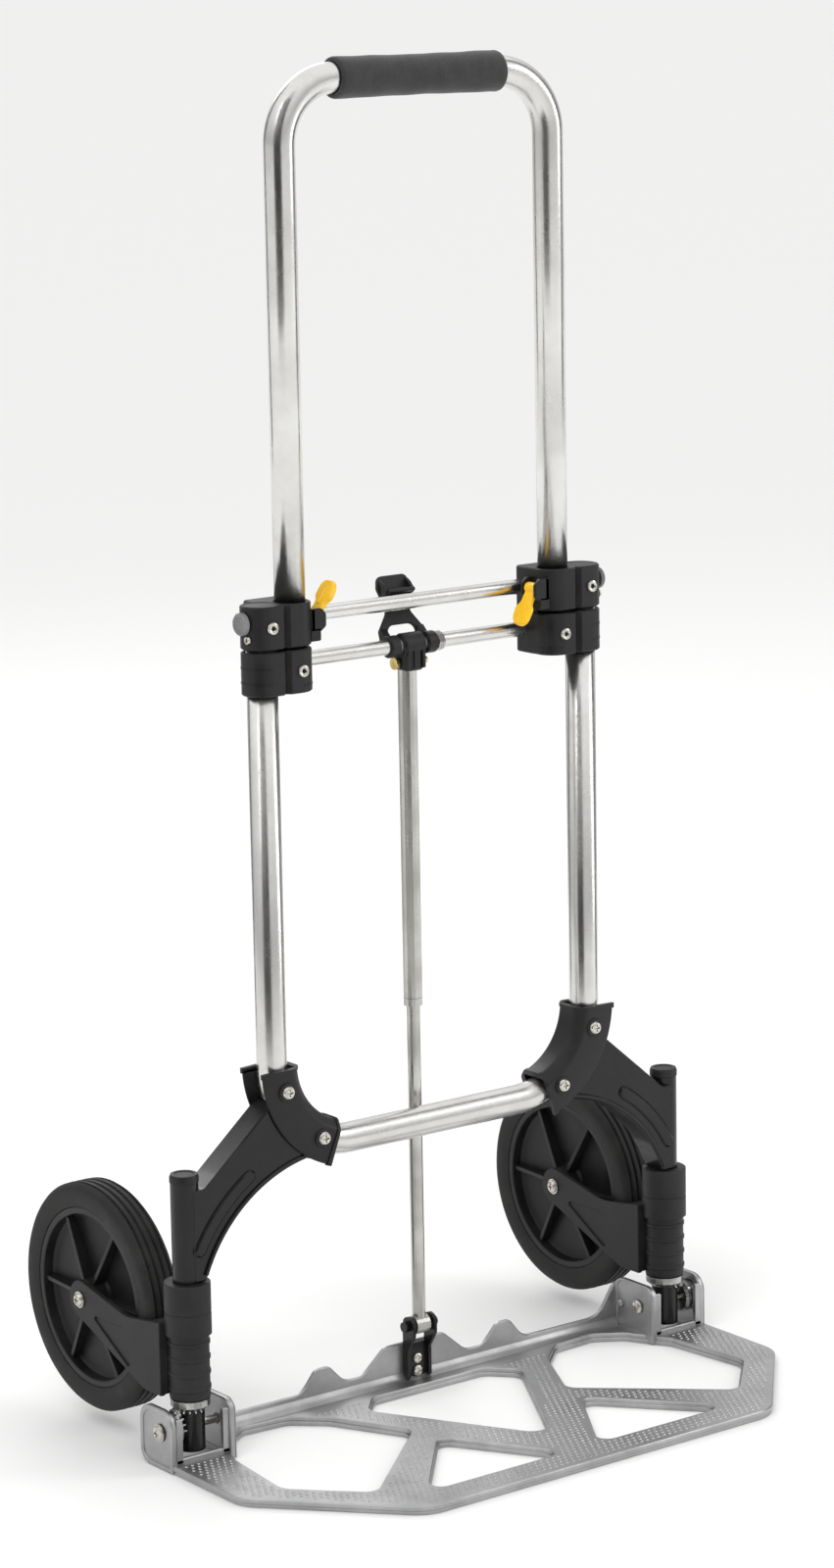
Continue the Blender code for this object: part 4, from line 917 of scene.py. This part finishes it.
def hinge_heads():
    def outer():
        washer = [(0, 246.2), (6.5, 246.2), (6.5, 246.9), (0, 246.9)]
        shank = [(0, 191), (3, 191), (3, 246.4), (0, 246.4)]
        return add(turned("X", (0, HINGE_Z), washer, 32), turned("X", (0, HINGE_Z), shank, 20),
                   cross_screw("X", (0, HINGE_Z), 246.8, 1, 5.4, 1.8),
                   cross_screw("X", (0, HINGE_Z), 191.8, -1, 5.4, 2.4))
    pair("hinge_screw", outer, LOOKS["zinc_fastener"], "toe_plate", ["{}_hinge_bolt"],
         "zinc_fastener")
    for number, z in enumerate((22.0, 12.4), 1):
        piece("clevis_head_%d" % number, cross_screw("Y", (0, z), 25.0, -1, 4.2, 2.2),
              LOOKS["zinc_fastener"], "toe_plate", ["clevis_screw_%d" % number])


# ---------------------------------------------------------------- stage

def studio():
    """A pale floor under an even, softly lit sky."""
    bm = bmesh.new()
    bmesh.ops.create_grid(bm, x_segments=2, y_segments=2, size=FLOOR_REACH)
    mesh = bpy.data.meshes.new("floor")
    bm.to_mesh(mesh)
    bm.free()
    floor = bpy.data.objects.new("floor", mesh)
    look, tree, shader, where = surface("pale_floor", (0.86, 0.86, 0.855), 0.0, 0.75)
    mesh.materials.append(look)
    bpy.context.collection.objects.link(floor)
    world = bpy.data.worlds.new("studio")
    world.use_nodes = True
    tree = world.node_tree
    where = tree.nodes.new("ShaderNodeTexCoord")
    split = tree.nodes.new("ShaderNodeSeparateXYZ")
    tree.links.new(where.outputs["Generated"], split.inputs[0])
    tree.links.new(ranged(tree, split.outputs["Z"], 0.52, 1.12, 0.05, 0.7),
                   tree.nodes["Background"].inputs["Strength"])
    tree.nodes["Background"].inputs["Color"].default_value = (1.0, 1.0, 1.0, 1.0)
    bpy.context.scene.world = world


def card(name, degrees, half, tone):
    """A dark card stood round the truck, seen only in its polished pieces."""
    bm = bmesh.new()
    face = bmesh.ops.create_grid(bm, x_segments=1, y_segments=1, size=1.0)["verts"]
    bmesh.ops.scale(bm, verts=face, vec=(half, 1.3, 1))
    bmesh.ops.rotate(bm, verts=face, matrix=Matrix.Rotation(math.pi / 2, 3, "X"))
    bmesh.ops.translate(bm, verts=face, vec=(0, -1.35, 1.3))
    around = Matrix.Rotation(math.radians(degrees + CAMERA_HEADING), 3, "Z")
    bmesh.ops.rotate(bm, verts=face, matrix=around)
    mesh = bpy.data.meshes.new(name)
    bm.to_mesh(mesh)
    bm.free()
    made = bpy.data.objects.new(name, mesh)
    mesh.materials.append(surface(name + "_cloth", (tone,) * 3, 0.0, 1.0)[0])
    bpy.context.collection.objects.link(made)
    made.visible_camera = made.visible_diffuse = made.visible_shadow = False
    made.visible_transmission = made.visible_volume_scatter = False


def lamp(name, place, aim, size, power):
    light = bpy.data.lights.new(name, "AREA")
    light.shape = "RECTANGLE"
    light.size, light.size_y = size
    light.energy = power
    made = bpy.data.objects.new(name, light)
    made.location = place
    made.rotation_euler = (Vector(aim) - Vector(place)).to_track_quat("-Z", "Y").to_euler()
    made.visible_camera = False
    bpy.context.collection.objects.link(made)


def strut_top():
    """The moulded block that joins the strut to the lower crossbar."""
    body = rounded([(-8.6, 10.5, 6), (8.6, 10.5, 6), (8.6, 30.8, 7), (-8.6, 30.8, 7)], 6)
    bm = slab("Z", body, 540, 558, chamfer=1.0)
    collar = [(0, -9), (7.9, -9), (8.8, -8), (8.8, 8), (7.9, 9), (0, 9)]
    bm = add(bm, turned("X", (BAR_Y, LOWER_CROSSBAR), collar, 40))
    for low, high in ((-2.2, 2.2), (5.2, 7.6), (-7.6, -5.2)):
        bm = add(bm, block((low, high), (9.6, 14), (541.5, 556), 0.6))
    piece("strut_top", bm, LOOKS["black_plastic"], "handle", ["strut_head"])


def latch():
    """The latch's eyes, legs, waisted back plate and hook, drawn upright and then leant back."""
    half = [(19.5, 555, 3), (19.5, 571, 5), (10, 584, 7), (15, 601, 3), (13, 610, 5)]
    outline = half + [(-x, z, radius) for x, z, radius in reversed(half)]
    outline += [(-12.5, 555, 2), (-12.5, 574, 6), (12.5, 574, 6), (12.5, 555, 2)]
    bm = slab("Y", rounded(outline, 6), 24, 27, chamfer=0.7)
    for low, high in ((12.4, 20.5), (-20.5, -12.4)):
        ring = [(5.7, low), (7.4, low), (8, low + 0.6), (8, high - 0.6), (7.4, high), (5.7, high)]
        bm = add(bm, turned("X", (BAR_Y, LOWER_CROSSBAR), ring, 36))
        leg = rounded([(22, 560, 0), (26.8, 560, 2), (26.8, 572, 2), (23.5, 572, 1),
                       (20, 566, 2)], 3)
        bm = add(bm, slab("X", leg, low + 0.8, high - 1.2, chamfer=0.4))
    hook = rounded([(14.2, 596.0, 1), (25.5, 595.8, 0), (25.5, 603, 0), (22.5, 599.5, 4),
                    (14.2, 598.8, 1)], 4)
    bm = add(bm, slab("X", hook, -11.5, 11.5, chamfer=0.5))
    wing = rounded([(16, 596, 2), (25.5, 594, 0), (25.5, 609, 0), (20, 604, 6)], 5)
    for low, high in ((10.5, 13), (-13, -10.5)):
        bm = add(bm, slab("X", wing, low, high, chamfer=0.5))
    turn(bm, -LATCH_LEAN, "X", (0, BAR_Y, LOWER_CROSSBAR))
    piece("latch_hook", bm, LOOKS["black_plastic"], "latch", ["latch"])


def camera():
    lens = bpy.data.cameras.new("camera")
    lens.lens = 98.15
    lens.clip_start = 0.05
    made = bpy.data.objects.new("camera", lens)
    heading, pitch, roll = (Matrix.Rotation(math.radians(degrees), 4, axis) for degrees, axis in
                            ((CAMERA_HEADING, "Z"), (78.82, "X"), (-1.03, "Z")))
    look = heading @ pitch @ roll
    made.matrix_world = Matrix.Translation((-1.810, -2.399, 1.053)) @ look
    bpy.context.collection.objects.link(made)
    bpy.context.scene.camera = made


camera()
studio()
card("front_card", -14, 0.62, 0.03)
card("right_card", 118, 0.20, 0.01)
card("left_card", -122, 0.16, 0.01)
lamp("key", (-2.2, -1.2, 2.6), (0, 0, 0.5), (1.6, 1.6), 26)
lamp("side", (2.4, -1.6, 1.4), (0, 0, 0.5), (0.5, 2.2), 16)
lamp("rim", (0.8, 2.6, 2.2), (0, 0, 0.4), (1.6, 1.2), 18)
dress_cad_nodes()
tubes()
grip()
posts()
bars()
blocks()
levers()
shoulders()
running_gear()
toe_plate()
hinge_heads()
strut_top()
latch()
bpy.context.scene.view_settings.view_transform = "Standard"
